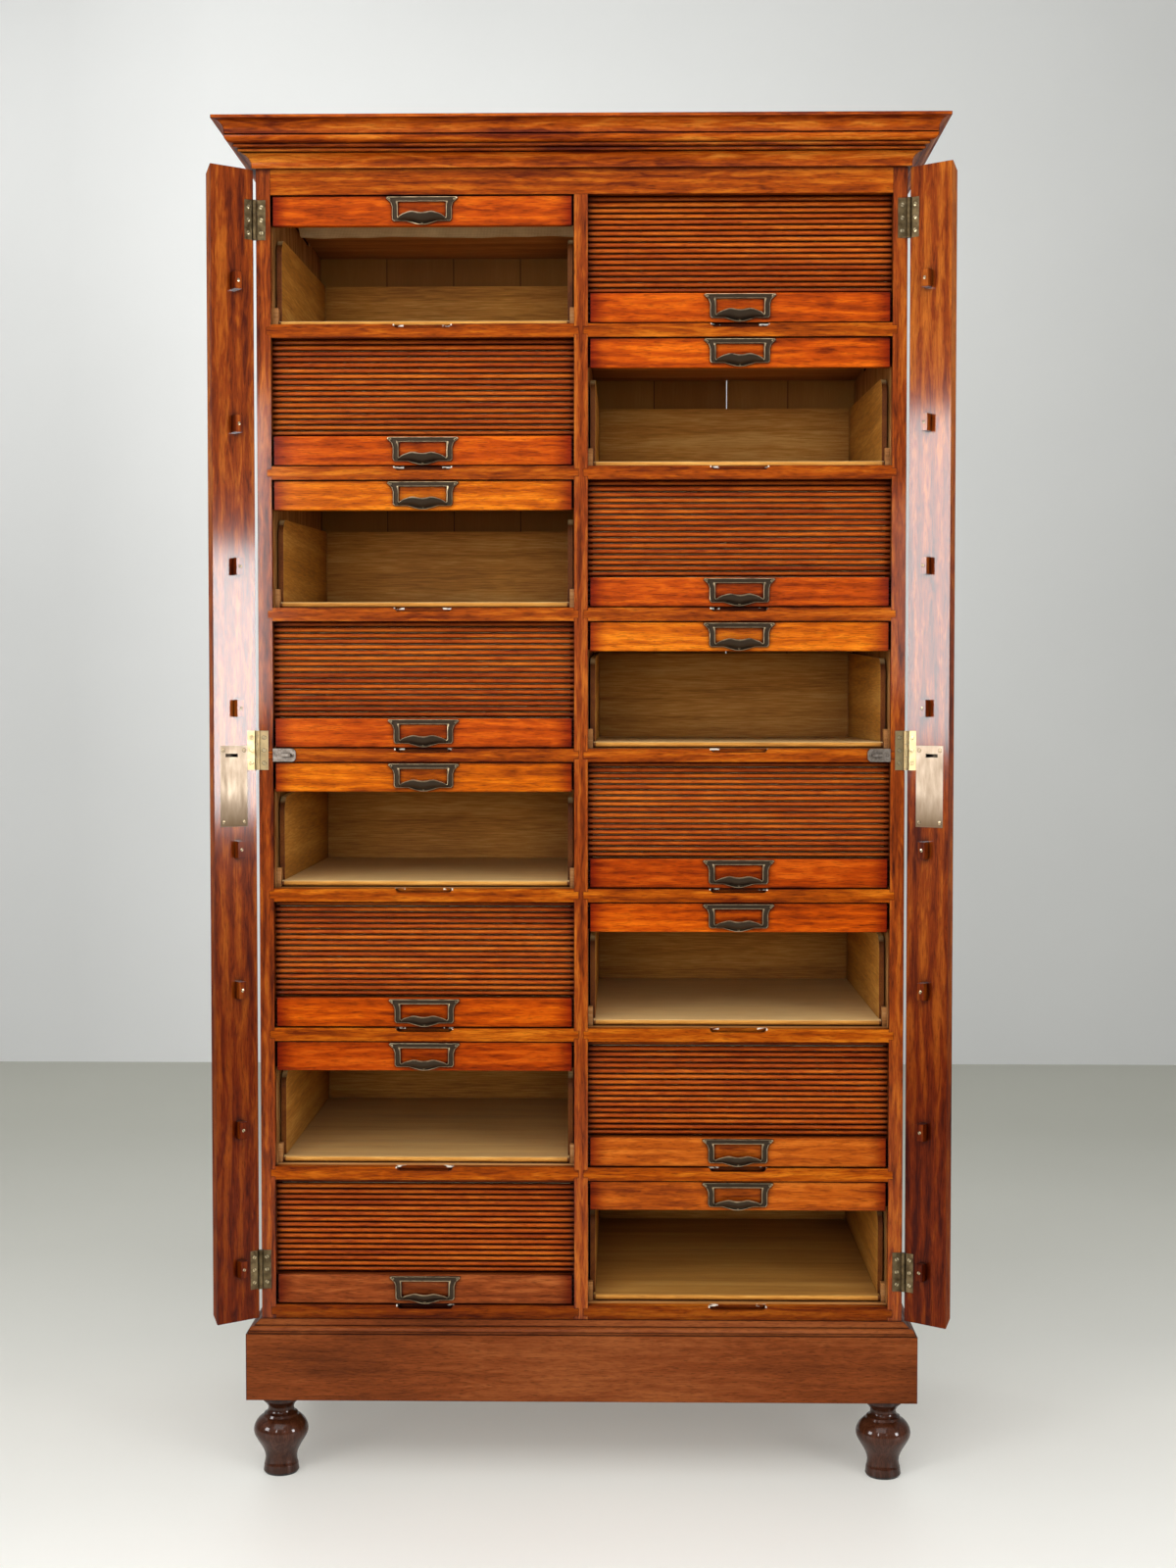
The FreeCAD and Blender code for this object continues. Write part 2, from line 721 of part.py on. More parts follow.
# Locking flaps, drawn shut against the stiles and then swung open on their pins
flap_low = moulding_top + flap_end_gap
flap_high = cornice_bottom - flap_end_gap
flap_back = -flap_face_gap
flap_front = flap_back - flap_thickness
slot_middle = half_width - slot_inset


def swing(shape, sign):
    shape.rotate(Vector(sign * pin_x, pin_y + front_shift, 0), Vector(0, 0, 1), sign * flap_open_angle)
    return shape


def from_edge(sign, near, far, y_low, y_high, z_low, z_high):
    first = sign * (half_width - near)
    second = sign * (half_width - far)
    return block(min(first, second), max(first, second), y_low, y_high, z_low, z_high)


def end_wedge(sign, level, up):
    outer = half_width + cut_over
    inner = half_width - flap_width - cut_over
    corners = [(flap_front, level), (flap_front, level - up * flap_bevel), (flap_front + flap_bevel, level)]
    points = [depth_point(sign * inner, y, z) for y, z in corners]
    face = Part.Face(Part.makePolygon(points + points[:1]))
    return face.extrude(Vector(sign * (outer - inner), 0, 0))


case_near = lock_from_edge + lock_case_margin
case_far = lock_from_edge + lock_width - lock_case_margin
case_low = lock_low + lock_case_margin
case_high = lock_low + lock_height - lock_case_margin
case_front = flap_back - lock_plate - lock_case_depth
slot_from_edge = half_width - slot_middle
key_level = slot_level - key_drop

for sign, side in ((-1, "left"), (1, "right")):
    flap = from_edge(sign, 0, flap_width, flap_front, flap_back, flap_low, flap_high)
    tools = [end_wedge(sign, flap_high, 1), end_wedge(sign, flap_low, -1)]
    for level in hinge_levels:
        tools.append(knuckle_room(sign, level))
        tools.append(leaf_box(sign, level, flap_back - hinge_leaf_thickness, flap_back))
    tools.append(from_edge(sign, lock_from_edge, lock_from_edge + lock_width, flap_back - lock_plate,
                           flap_back, lock_low, lock_low + lock_height))
    tools.append(from_edge(sign, case_near, case_far, case_front, flap_back - lock_plate, case_low, case_high))
    key_x = sign * slot_middle
    key_hole = Part.makeCylinder(keyhole_radius, flap_thickness + 2 * cut_over,
                                 depth_point(key_x, flap_front - cut_over, key_level), Vector(0, 1, 0))
    ring_room = Part.makeCylinder(escutcheon_radius, escutcheon_thickness,
                                  depth_point(key_x, flap_front, key_level), Vector(0, 1, 0))
    solid_case = from_edge(sign, case_near, case_far, case_front, flap_back, case_low, case_high)
    flap = flap.cut(key_hole.cut(solid_case))
    flap = single(cut_all(flap, tools + [ring_room]))
    flap_solids = [swing(flap, sign)]
    for row in range(1, row_count + 1):
        stop_low = opening_bottom(row) + lath_bottom_gap + lath_height + stop_lift
        stop = from_edge(sign, stop_from_edge, stop_from_edge + stop_width, flap_back,
                         flap_back + stop_reach, stop_low, stop_low + stop_height)
        flap_solids.append(swing(stop, sign))
    save("flap_" + side, flap_solids)

    plate = from_edge(sign, lock_from_edge, lock_from_edge + lock_width, flap_back - lock_plate, flap_back,
                      lock_low, lock_low + lock_height)
    slot = from_edge(sign, slot_from_edge - slot_width / 2, slot_from_edge + slot_width / 2,
                     flap_back - lock_plate - cut_over, flap_back + cut_over,
                     slot_level - slot_height / 2, slot_level + slot_height / 2)
    plate = single(plate.cut(slot))
    case = from_edge(sign, case_near, case_far, case_front, flap_back - lock_plate, case_low, case_high)
    hollow = from_edge(sign, case_near + lock_case_wall, case_far - lock_case_wall,
                       case_front + lock_case_wall, flap_back - lock_plate,
                       case_low + lock_case_wall, case_high - lock_case_wall)
    case = single(case.cut(hollow).cut(key_hole))
    ring = ring_room.cut(key_hole)
    lock = [swing(plate, sign), swing(case, sign), swing(single(ring), sign)]
    save("lock_" + side, lock)

    bolt_top = slot_level - staple_thickness / 2 - bolt_rest_gap
    eye_y = flap_back - lock_plate - staple_reach / 2
    bolt = from_edge(sign, slot_from_edge - bolt_width / 2, slot_from_edge + bolt_width / 2,
                     eye_y - bolt_thickness / 2, eye_y + bolt_thickness / 2,
                     bolt_top - bolt_length, bolt_top)
    half_body = bolt_body_width / 2
    body = from_edge(sign, slot_from_edge - half_body, slot_from_edge + half_body,
                     case_front + lock_case_wall + bolt_slide_gap, flap_back - lock_plate - bolt_slide_gap,
                     bolt_top - bolt_length, bolt_top - bolt_head_length)
    save("lock_bolt_" + side, [swing(single(bolt.fuse(body)), sign)])

# Plates with a staple on the rail in the middle of the height
links = []
for sign in (-1, 1):
    wall = sign * wall_x
    tip = sign * (wall_x - link_length)
    plate = block(min(wall, tip), max(wall, tip), -link_thickness, 0,
                  slot_level - link_height / 2, slot_level + link_height / 2)
    round_edges = []
    for edge in plate.Edges:
        middle = edge.CenterOfMass
        if abs(middle.x - tip) < same_place and edge.BoundBox.YLength > link_thickness / 2:
            round_edges.append(edge)
    plate = plate.makeFillet(link_end_radius, round_edges)
    staple_tip = flap_back - lock_plate - staple_reach + staple_end_room
    staple = block(sign * slot_middle - staple_width / 2, sign * slot_middle + staple_width / 2,
                   staple_tip, -link_thickness / 2,
                   slot_level - staple_thickness / 2, slot_level + staple_thickness / 2)
    eye_y = flap_back - lock_plate - staple_reach / 2
    eye = block(sign * slot_middle - staple_eye_width / 2, sign * slot_middle + staple_eye_width / 2,
                eye_y - staple_eye_depth / 2, eye_y + staple_eye_depth / 2,
                slot_level - staple_thickness, slot_level + staple_thickness)
    links.append(single(plate.fuse(staple).cut(eye)))
save("link_plates", links)

# Butt hinges: fixed leaves with two knuckles and the pin, swinging leaves with the middle knuckle
frame_hinges = []
knuckle = hinge_height / 3
for sign, side in ((-1, "left"), (1, "right")):
    swing_leaves = []
    for level in hinge_levels:
        low = level - hinge_height / 2
        high = level + hinge_height / 2
        middle_low = low + knuckle
        middle_high = high - knuckle
        room = hinge_knuckle_radius + hinge_clearance
        fixed = leaf_box(sign, level, 0, hinge_leaf_thickness)
        fixed = fixed.cut(upright_cylinder(room, sign * pin_x, pin_y, middle_low, middle_high))
        for z_low, z_high in ((low, middle_low), (middle_high, high)):
            fixed = fixed.fuse(upright_cylinder(hinge_knuckle_radius, sign * pin_x, pin_y, z_low, z_high))
        fixed = fixed.cut(upright_cylinder(hinge_pin_radius, sign * pin_x, pin_y, low - cut_over, high + cut_over))
        frame_hinges.append(single(fixed))
        frame_hinges.append(upright_cylinder(hinge_pin_radius, sign * pin_x, pin_y, low, high))
        moving = leaf_box(sign, level, flap_back - hinge_leaf_thickness, flap_back)
        for z_low, z_high in ((low - cut_over, middle_low + hinge_end_gap),
                              (middle_high - hinge_end_gap, high + cut_over)):
            moving = moving.cut(upright_cylinder(room, sign * pin_x, pin_y, z_low, z_high))
        moving = moving.fuse(upright_cylinder(hinge_knuckle_radius, sign * pin_x, pin_y,
                                              middle_low + hinge_end_gap, middle_high - hinge_end_gap))
        bore = hinge_pin_radius + hinge_bore_clearance
        moving = moving.cut(upright_cylinder(bore, sign * pin_x, pin_y, low - cut_over, high + cut_over))
        swing_leaves.append(swing(single(moving), sign))
    save("hinge_leaves_" + side, swing_leaves)
save("hinge_leaves_frame", frame_hinges)
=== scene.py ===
import math

import bpy
import numpy as np
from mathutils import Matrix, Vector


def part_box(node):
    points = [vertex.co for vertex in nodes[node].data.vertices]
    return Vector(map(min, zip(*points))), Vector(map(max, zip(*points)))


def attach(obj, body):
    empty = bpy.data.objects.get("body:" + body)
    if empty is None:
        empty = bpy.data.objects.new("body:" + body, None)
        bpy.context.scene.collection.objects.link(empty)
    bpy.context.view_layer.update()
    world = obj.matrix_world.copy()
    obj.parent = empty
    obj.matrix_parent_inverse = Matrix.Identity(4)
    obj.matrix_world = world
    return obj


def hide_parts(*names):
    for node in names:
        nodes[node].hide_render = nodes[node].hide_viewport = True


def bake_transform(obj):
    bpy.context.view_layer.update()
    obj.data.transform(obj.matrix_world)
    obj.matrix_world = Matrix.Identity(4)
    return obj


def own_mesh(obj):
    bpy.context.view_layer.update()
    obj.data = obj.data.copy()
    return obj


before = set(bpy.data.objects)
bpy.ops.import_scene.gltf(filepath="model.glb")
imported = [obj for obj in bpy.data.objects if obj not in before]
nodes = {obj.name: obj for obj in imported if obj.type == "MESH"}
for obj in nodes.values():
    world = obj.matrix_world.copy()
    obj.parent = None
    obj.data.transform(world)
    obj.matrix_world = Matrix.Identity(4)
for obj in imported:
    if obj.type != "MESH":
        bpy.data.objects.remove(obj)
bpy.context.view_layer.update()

mm = 0.001
print("frame loaded:", len(nodes), "nodes")

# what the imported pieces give: front plane, columns, compartments
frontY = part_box("stiles")[0][1]
topLaths = {side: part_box("shutter_rail_" + side + "1") for side in "LR"}
columnX = {side: (low[0] + high[0]) / 2 for side, (low, high) in topLaths.items()}
openShutters = {"L1", "L3", "L5", "L7", "R2", "R4", "R6", "R8"}
rows = range(1, 9)
compartments = [side + str(row) for side in "LR" for row in rows]
cabinet = dict(baseZ=228.5 * mm, rowPitch=182.5 * mm, openingHeight=165 * mm, halfWidth=419 * mm,
               sideThick=18.5 * mm, travel=125 * mm)


def openingBottom(name):
    # the lowest compartment's floor level, and one pitch more for each row above it
    return cabinet["baseZ"] + (rows[-1] - int(name[1])) * cabinet["rowPitch"]


# helpers for nodes and meshes

def linear(hexColour):
    # sRGB hex to linear: c / 12.92 near black, else (c + 0.055) / 1.055 to the power 2.4
    channels = np.array([int(hexColour[i:i + 2], 16) / 255 for i in (1, 3, 5)])
    channels = np.where(channels <= 0.04045, channels / 12.92, ((channels + 0.055) / 1.055) ** 2.4)
    return (*channels.tolist(), 1.0)


def feed(tree, node, feeds):
    # inputs by name, or else in their own order: sockets are linked to them, values are set on them
    for key, value in feeds.items() if isinstance(feeds, dict) else enumerate(feeds):
        if isinstance(value, bpy.types.NodeSocket):
            tree.links.new(value, node.inputs[key])
        else:
            node.inputs[key].default_value = value


def addNode(tree, kind, feeds=(), stops=None, out=None, **settings):
    # one node: settings are its own fields, feeds its inputs, stops the colours of a ramp;
    # gives the output named by out, or else the first that is in use
    node = tree.nodes.new("ShaderNode" + kind)
    for key, value in settings.items():
        setattr(node, key, value)
    feed(tree, node, feeds)
    if stops:
        ramp = node.color_ramp.elements
        while len(ramp) < len(stops):
            ramp.new(0.5)
        for element, (place, colour) in zip(ramp, stops):
            element.position = place
            element.color = linear(colour) if isinstance(colour, str) else (colour, colour, colour, 1)
    return node.outputs[out] if out else next(socket for socket in node.outputs if socket.enabled)


def newMaterial(name):
    # an empty finish: the material, its nodes, and the shader that they end in
    material = bpy.data.materials.new(name)
    material.use_nodes = True
    tree = material.node_tree
    return material, tree, tree.nodes["Principled BSDF"]


def quadGrid(rows, cols, wrapRows=False, wrapCols=False):
    # each cell of the grid joins its four corner points; a wrapped side joins the last points to the first
    a, b = np.meshgrid(np.arange(rows if wrapRows else rows - 1), np.arange(cols if wrapCols else cols - 1),
                       indexing="ij")
    aNext, bNext = (a + 1) % rows, (b + 1) % cols
    corners = [a * cols + b, a * cols + bNext, aNext * cols + bNext, aNext * cols + b]
    return np.stack(corners, -1).reshape(-1, 4)


def cappedTube(rows, ring):
    # a closed outline carried along the rows: its side quads, then the first and last outline as end faces
    first = np.arange(ring)
    return [quadGrid(rows, ring, wrapCols=True), np.stack([first[::-1], first + (rows - 1) * ring])]


def makePiece(name, parts, materials, body=None, sharpAngle=35):
    # joins parts, each (points, arrays of faces, material index, tone, groove), into one mesh in place
    points, faces, slots, start = [], [], [], 0
    marks = {"tone": [], "groove": []}
    for vertices, polygonSets, index, *values in parts:
        vertices = np.asarray(vertices, float).reshape(-1, 3)
        points.append(vertices)
        for polygons in polygonSets:
            faces += (polygons + start).tolist()
            slots.append(np.full(len(polygons), index))
        for mark, value in zip(marks, values + [0.0] * (len(marks) - len(values))):
            marks[mark].append(np.broadcast_to(np.asarray(value, float).reshape(-1), (len(vertices),)))
        start += len(vertices)
    mesh = bpy.data.meshes.new(name)
    mesh.from_pydata(np.concatenate(points).tolist(), [], faces)
    for material in materials:
        mesh.materials.append(material)
    mesh.polygons.foreach_set("material_index", np.concatenate(slots).astype(np.int32))
    for mark, values in marks.items():
        layer = mesh.attributes.new(mark, "FLOAT", "POINT")
        layer.data.foreach_set("value", np.concatenate(values).astype(np.float32))
    mesh.shade_smooth()
    mesh.set_sharp_from_angle(angle=math.radians(sharpAngle))
    mesh.validate()
    piece = bpy.data.objects.new(name, mesh)
    bpy.context.scene.collection.objects.link(piece)
    if body:
        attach(piece, body)
    return piece


# patterns that several finishes share

paint = dict(data_type="RGBA")
multiply = dict(data_type="RGBA", blend_type="MULTIPLY")
white = "#ffffff"
waveTurn = 0.314  # one turn of the wave texture, in its own units


def grainPlace(tree, coords, grain, width, stretch):
    # the place in widths (mm) across the grain and in stretch widths along it; grain runs along Z or X
    across = 1 / (width * mm)
    along = across / stretch
    scale = (across, across, along) if grain == "Z" else (along, across, across)
    return addNode(tree, "Mapping", {"Vector": coords, "Scale": scale})


def turnGrain(tree, coords, mask):
    # X and Y change places where mask is 1, so that the grain there runs from front to back
    place = addNode(tree, "SeparateXYZ", (coords,)).node.outputs
    turned = addNode(tree, "CombineXYZ", (place["Y"], place["X"], place["Z"]))
    return addNode(tree, "Mix", {"Factor": mask, "A": coords, "B": turned}, data_type="VECTOR")


def offColumn(tree, coords):
    # how far a point lies from its column's middle line: the size of x less the middle's x, either way
    off = addNode(tree, "SeparateXYZ", (coords,), out="X")
    off = addNode(tree, "Math", (off,), operation="ABSOLUTE")
    off = addNode(tree, "Math", (off, columnX["R"]), operation="SUBTRACT")
    return addNode(tree, "Math", (off,), operation="ABSOLUTE")


def settleGrime(tree, colour, grimeAndShade):
    # painted shade, with dirt, where surfaces close in: each layer multiplies by a ramp, from its dark tone
    # where only the first share of what lies within reach (mm) is open to white at the second
    for reach, shut, dark, free in grimeAndShade["layers"]:
        openness = addNode(tree, "AmbientOcclusion", {"Distance": reach * mm}, out="AO",
                           samples=grimeAndShade["samples"])
        tone = addNode(tree, "ValToRGB", (openness,), stops=[(shut, dark), (free, white)])
        colour = addNode(tree, "Mix", {"Factor": grimeAndShade["share"], "A": colour, "B": tone}, **multiply)
    return colour


# French-polished mahogany: broad ribbons along the grain, fine streaks, short dark pores, shellac gloss.
# each layer gives its width in mm across the grain and how many times longer it is along it;
# pores are drawn about four times coarser than real ones so that they show.
# painted shade, with the darkening of wax and dust, lies in the seams and, more softly, the recesses, and
# draws a line along the edges
mahogany = dict(cloud=(70, 5), ribbon=(9, 7), streak=(1.6, 16), pore=(0.9, 12), figure=(15, 11), detail=2.5,
                bend=0.2, figureBend=5, figureDetail={"Detail": 2.0, "Detail Scale": 1.3}, streakShare=0.35,
                tonePlaces=(0.37, 0.5, 0.63), poreStops=((0.36, 0.45), (0.46, 1.0)), poreShare=0.7,
                smoother=0.06, rougher=0.08, edge=1.8, edgeShadeStops=((0.8, "#4a1a0a"), (0.98, white)),
                grimeAndShade=dict(share=0.9, samples=4,
                           layers=((7, 0.35, "#1c0602", 0.9), (32, 0.25, "#5a2a14", 0.95))),
                edgeSamples=4, lowShadeTint="#c4ac9e", dullCoat=0.15,
                bump={"Strength": 0.12, "Distance": 0.1 * mm},
                surface={"IOR": 1.5, "Specular IOR Level": 0.03})


def polishedMahogany(kind, grain, tones, roughness=0.4, coat=0.1, coatRoughness=0.12, warp=1.3, extra=None,
                     perPiece=False, edgeShadeAndGrime=0.85, dullAndShadedBelow=None, bold=0.08, calm=0.4):
    # noises stretched along the grain, mixed by calm (clouds) and bold (figure), pick from three tones;
    # pores, then grime with painted shade in the recesses and painted shade along the edges, multiply the
    # tone down
    material, tree, shader = newMaterial("French-polished mahogany, " + kind)
    own = coords = addNode(tree, "TexCoord", out="Object")
    if perPiece:  # each slat shifts the pattern by its own tone
        tone = addNode(tree, "Attribute", out="Fac", attribute_name="tone")
        shift = addNode(tree, "CombineXYZ", (tone, tone, tone))
        coords = addNode(tree, "VectorMath", (coords, shift), operation="ADD")
    if grain == "corner":  # past the mitre the returns run along Y
        place = addNode(tree, "SeparateXYZ", (coords,)).node.outputs
        side = addNode(tree, "Math", (place["X"],), operation="ABSOLUTE")
        reach = addNode(tree, "Math", (side, place["Y"]), operation="ADD")
        past = addNode(tree, "Math", (reach, cabinet["halfWidth"] + frontY), operation="GREATER_THAN")
        coords = turnGrain(tree, coords, past)
    layers = {}
    for layer in ("cloud", "ribbon", "streak", "pore"):
        place = grainPlace(tree, coords, grain, *mahogany[layer])
        bend = warp if layer == "ribbon" else mahogany["bend"]
        noise = {"Vector": place, "Scale": 1.0, "Detail": mahogany["detail"], "Distortion": bend}
        layers[layer] = addNode(tree, "TexNoise", noise)
    # the figure: even bands across the grain, bent far out of line by slow noise
    place = grainPlace(tree, coords, grain, *mahogany["figure"])
    bands = {"Vector": place, "Scale": waveTurn, "Distortion": mahogany["figureBend"] * warp,
             **mahogany["figureDetail"]}
    direction = "X" if grain == "Z" else "Z"
    layers["figure"] = addNode(tree, "TexWave", bands, out="Fac", bands_direction=direction)
    mixed = layers["ribbon"]
    for share, layer in ((mahogany["streakShare"], "streak"), (calm, "cloud"), (bold, "figure")):
        mixed = addNode(tree, "Mix", {"Factor": share, "A": mixed, "B": layers[layer]})
    colour = addNode(tree, "ValToRGB", (mixed,), stops=list(zip(mahogany["tonePlaces"], tones)))
    pores = addNode(tree, "ValToRGB", (layers["pore"],), stops=mahogany["poreStops"])
    colour = addNode(tree, "Mix", {"Factor": mahogany["poreShare"], "A": colour, "B": pores}, **multiply)
    rough = addNode(tree, "MapRange", (layers["streak"], 0, 1, roughness - mahogany["smoother"],
                                       roughness + mahogany["rougher"]))
    colour = settleGrime(tree, colour, mahogany["grimeAndShade"])
    # painted shade and grime along the edges: an edge is where a rounded normal leaves the flat one
    rounded = addNode(tree, "Bevel", {"Radius": mahogany["edge"] * mm}, samples=mahogany["edgeSamples"])
    flat = addNode(tree, "NewGeometry", out="Normal")
    edge = addNode(tree, "VectorMath", (rounded, flat), operation="DOT_PRODUCT")
    edge = addNode(tree, "ValToRGB", (edge,), stops=mahogany["edgeShadeStops"])
    colour = addNode(tree, "Mix", {"Factor": edgeShadeAndGrime, "A": colour, "B": edge}, **multiply)
    if extra:
        colour, rough = extra(tree, own, colour, rough)
    gloss = coat
    # painted shade: lower down the colour is multiplied darker by a tint, besides the coat's loss of gloss
    if dullAndShadedBelow:  # the polish has lost its gloss lower down
        height = addNode(tree, "SeparateXYZ", (own,), out="Z")
        gloss = addNode(tree, "MapRange", (height, *dullAndShadedBelow, mahogany["dullCoat"] * coat, coat))
        dull = addNode(tree, "MapRange", (height, *dullAndShadedBelow, 1, 0))
        tint = linear(mahogany["lowShadeTint"])
        colour = addNode(tree, "Mix", {"Factor": dull, "A": colour, "B": tint}, **multiply)
    bump = addNode(tree, "Bump", {"Height": layers["pore"], **mahogany["bump"]})
    feed(tree, shader, {"Base Color": colour, "Roughness": rough, "Normal": bump, "Coat Weight": gloss,
                        "Coat Roughness": coatRoughness, **mahogany["surface"]})
    return material


# chips at the finger notches' ends, where the polish has gone down to pale wood; the lowest rail is painted
# greyer and darker, as shade
chips = dict(start=25 * mm, end=38 * mm, depth=2.2 * mm, size=(9 * mm, 5 * mm, 5 * mm), flake=(0.48, 0.56),
             detail=2.0, colour="#eadfce", roughness=0.7, lowestRailShade="#c8c0d0")


def notchChips(tree, coords, colour, rough):
    # a chip is between start and end from the column's middle, within depth of a rail's top, and flaked
    middle, half = (chips["start"] + chips["end"]) / 2, (chips["end"] - chips["start"]) / 2
    near = addNode(tree, "Math", (offColumn(tree, coords), middle, half), operation="COMPARE")
    height = addNode(tree, "SeparateXYZ", (coords,), out="Z")
    rise = addNode(tree, "Math", (height, cabinet["baseZ"] - chips["depth"]), operation="SUBTRACT")
    rise = addNode(tree, "Math", (rise, cabinet["rowPitch"]), operation="FLOORED_MODULO")
    top = addNode(tree, "Math", (rise, 2 * chips["depth"]), operation="LESS_THAN")
    grit = addNode(tree, "Mapping", {"Vector": coords, "Scale": [1 / size for size in chips["size"]]})
    flake = addNode(tree, "TexNoise", {"Vector": grit, "Scale": 1.0, "Detail": chips["detail"]})
    flake = addNode(tree, "MapRange", (flake, *chips["flake"]))
    mask = addNode(tree, "Math", (near, top), operation="MULTIPLY")
    mask = addNode(tree, "Math", (mask, flake), operation="MULTIPLY")
    # painted shade: the lowest rail, below the lowest floor, is multiplied greyer and darker
    base = addNode(tree, "Math", (height, cabinet["baseZ"]), operation="LESS_THAN")
    colour = addNode(tree, "Mix", {"Factor": base, "A": colour, "B": linear(chips["lowestRailShade"])}, **multiply)
    colour = addNode(tree, "Mix", {"Factor": mask, "A": colour, "B": linear(chips["colour"])}, **paint)
    return colour, addNode(tree, "Mix", {"Factor": mask, "A": rough, "B": chips["roughness"]})


# painted shade, with old polish and dust, lies dark in the hollows between the slats
hollowShade = dict(depths=(0.03, 0.48), colour="#1e0601")


def darkHollows(tree, coords, colour, rough):
    # the slat's own groove value, 0 on its crown and 1 at its foot, paints the shade and dirt in
    low = addNode(tree, "Attribute", out="Fac", attribute_name="groove")
    low = addNode(tree, "MapRange", (low, *hollowShade["depths"]))
    return addNode(tree, "Mix", {"Factor": low, "A": colour, "B": linear(hollowShade["colour"])}, **paint), rough


# painted shade makes the laths browner towards their ends
lathEndShade = dict(reach=(165 * mm, 194 * mm), tint="#b07a5c")


def darkEnds(tree, coords, colour, rough):
    # the painted shade rises in a smooth step over reach, measured from the column's middle
    shade = addNode(tree, "MapRange", (offColumn(tree, coords), *lathEndShade["reach"]),
                    interpolation_type="SMOOTHSTEP")
    colour = addNode(tree, "Mix", {"Factor": shade, "A": colour, "B": linear(lathEndShade["tint"])}, **multiply)
    return colour, rough


# the sides show plain oak towards the compartments, in tones darker than the boxes' oak: painted shade
sideInside = dict(until=402 * mm, line=10 / 3, stretch=18.75, detail=3.0, roughness=0.6,
                  stops=((0.36, "#7c5026"), (0.5, "#a6703c"), (0.62, "#c49058")))


def oakInside(tree, coords, colour, rough):
    # oak lines in place of mahogany where x is smaller, either way, than the inner face's
    side = addNode(tree, "SeparateXYZ", (coords,), out="X")
    side = addNode(tree, "Math", (side,), operation="ABSOLUTE")
    mask = addNode(tree, "Math", (side, sideInside["until"]), operation="LESS_THAN")
    place = grainPlace(tree, coords, "Z", sideInside["line"], sideInside["stretch"])
    lines = addNode(tree, "TexNoise", {"Vector": place, "Scale": 1.0, "Detail": sideInside["detail"]})
    oak = addNode(tree, "ValToRGB", (lines,), stops=sideInside["stops"])
    colour = addNode(tree, "Mix", {"Factor": mask, "A": colour, "B": oak}, **paint)
    return colour, addNode(tree, "Mix", {"Factor": mask, "A": rough, "B": sideInside["roughness"]})


# planed oak, waxed: straight pale grain with darker ring-porous lines about 2 mm apart, brown in the corners
# with painted shade and dirt
oakBoard = dict(line=2.0, broad=26, stretch=18, bend=0.5, details=(2.0, 4.0), tonePlaces=(0.34, 0.5, 0.66),
                grimeAndShade=dict(share=0.8, samples=4,
                           layers=((6, 0.2, "#3a2410", 0.7), (110, 0.15, "#6c4626", 0.75))),
                smoother=0.08, rougher=0.1, bump={"Strength": 0.25, "Distance": 0.15 * mm},
                surface={"IOR": 1.5, "Specular IOR Level": 0.15})
# the boxes: their sides' front edges are dark from handling, and dust lies on the floors; painted light and
# shade make the floors paler higher up and darker lower down, through the dust's tone and share
boxMarks = dict(sidesFrom=186 * mm, edgeUntil=-100 * mm, forward=-0.3, edgeTint="#8e6e4c", upward=(0.6, 0.9),
               dust=("#6e5a3a", "#d8bc88"), dustAndLightHeights=(240 * mm, 520 * mm), dustAndLightShares=(0.5, 0.9),
               grain=(0.3, 0.7), grainShare=0.55, detail=3.0)


def boxSides(tree, coords):
    # 1 on the upright sides of the boxes, which lie furthest from the middle of a column
    return addNode(tree, "Math", (offColumn(tree, coords), boxMarks["sidesFrom"]), operation="GREATER_THAN")


def handledEdges(tree, coords, colour):
    # an edge is on a side, near the front and faces forward; dust lies on what faces up, thin on grain lines,
    # and its tone and share rise with height as painted light on the higher floors
    facing = addNode(tree, "SeparateXYZ", (addNode(tree, "NewGeometry", out="Normal"),)).node.outputs
    place = addNode(tree, "SeparateXYZ", (coords,)).node.outputs
    forward = addNode(tree, "Math", (facing["Y"], boxMarks["forward"]), operation="LESS_THAN")
    near = addNode(tree, "Math", (place["Y"], boxMarks["edgeUntil"]), operation="LESS_THAN")
    mask = boxSides(tree, coords)
    for part in (forward, near):
        mask = addNode(tree, "Math", (mask, part), operation="MULTIPLY")
    colour = addNode(tree, "Mix", {"Factor": mask, "A": colour, "B": linear(boxMarks["edgeTint"])}, **multiply)
    upward = addNode(tree, "MapRange", (facing["Z"], *boxMarks["upward"]))
    # painted light: the higher a floor, the paler and thicker its dust
    rise = addNode(tree, "MapRange", (place["Z"], *boxMarks["dustAndLightHeights"]))
    dust = addNode(tree, "ValToRGB", (rise,), stops=list(enumerate(boxMarks["dust"])))
    dustAndLightShare = addNode(tree, "MapRange", (rise, 0, 1, *boxMarks["dustAndLightShares"]))
    lines = grainPlace(tree, coords, "X", oakBoard["line"], oakBoard["stretch"])
    lines = addNode(tree, "TexNoise", {"Vector": lines, "Scale": 1.0, "Detail": boxMarks["detail"]})
    lines = addNode(tree, "MapRange", (lines, *boxMarks["grain"], boxMarks["grainShare"]))
    for share in (upward, lines):
        dustAndLightShare = addNode(tree, "Math", (dustAndLightShare, share), operation="MULTIPLY")
    return addNode(tree, "Mix", {"Factor": dustAndLightShare, "A": colour, "B": dust}, **paint)


# planed deal, bare: upright back boards of one width, but for the joint that has opened, which is a real gap;
# each board has a tone of its own, dark joints, and a warmer face towards the boxes
backBoards = dict(width=(cabinet["halfWidth"] - cabinet["sideThick"]) / 4, joint=0.9 * mm, opened=2,
                  shift=9 * mm, inside="#b88438", insideShare=0.6, turn=(0.5, -0.5), share=0.9,
                  boardTones=((0.0, "#d2c6ba"), (1.0, white)), jointTones=((0.3, "#2a1a0c"), (1.0, white)))


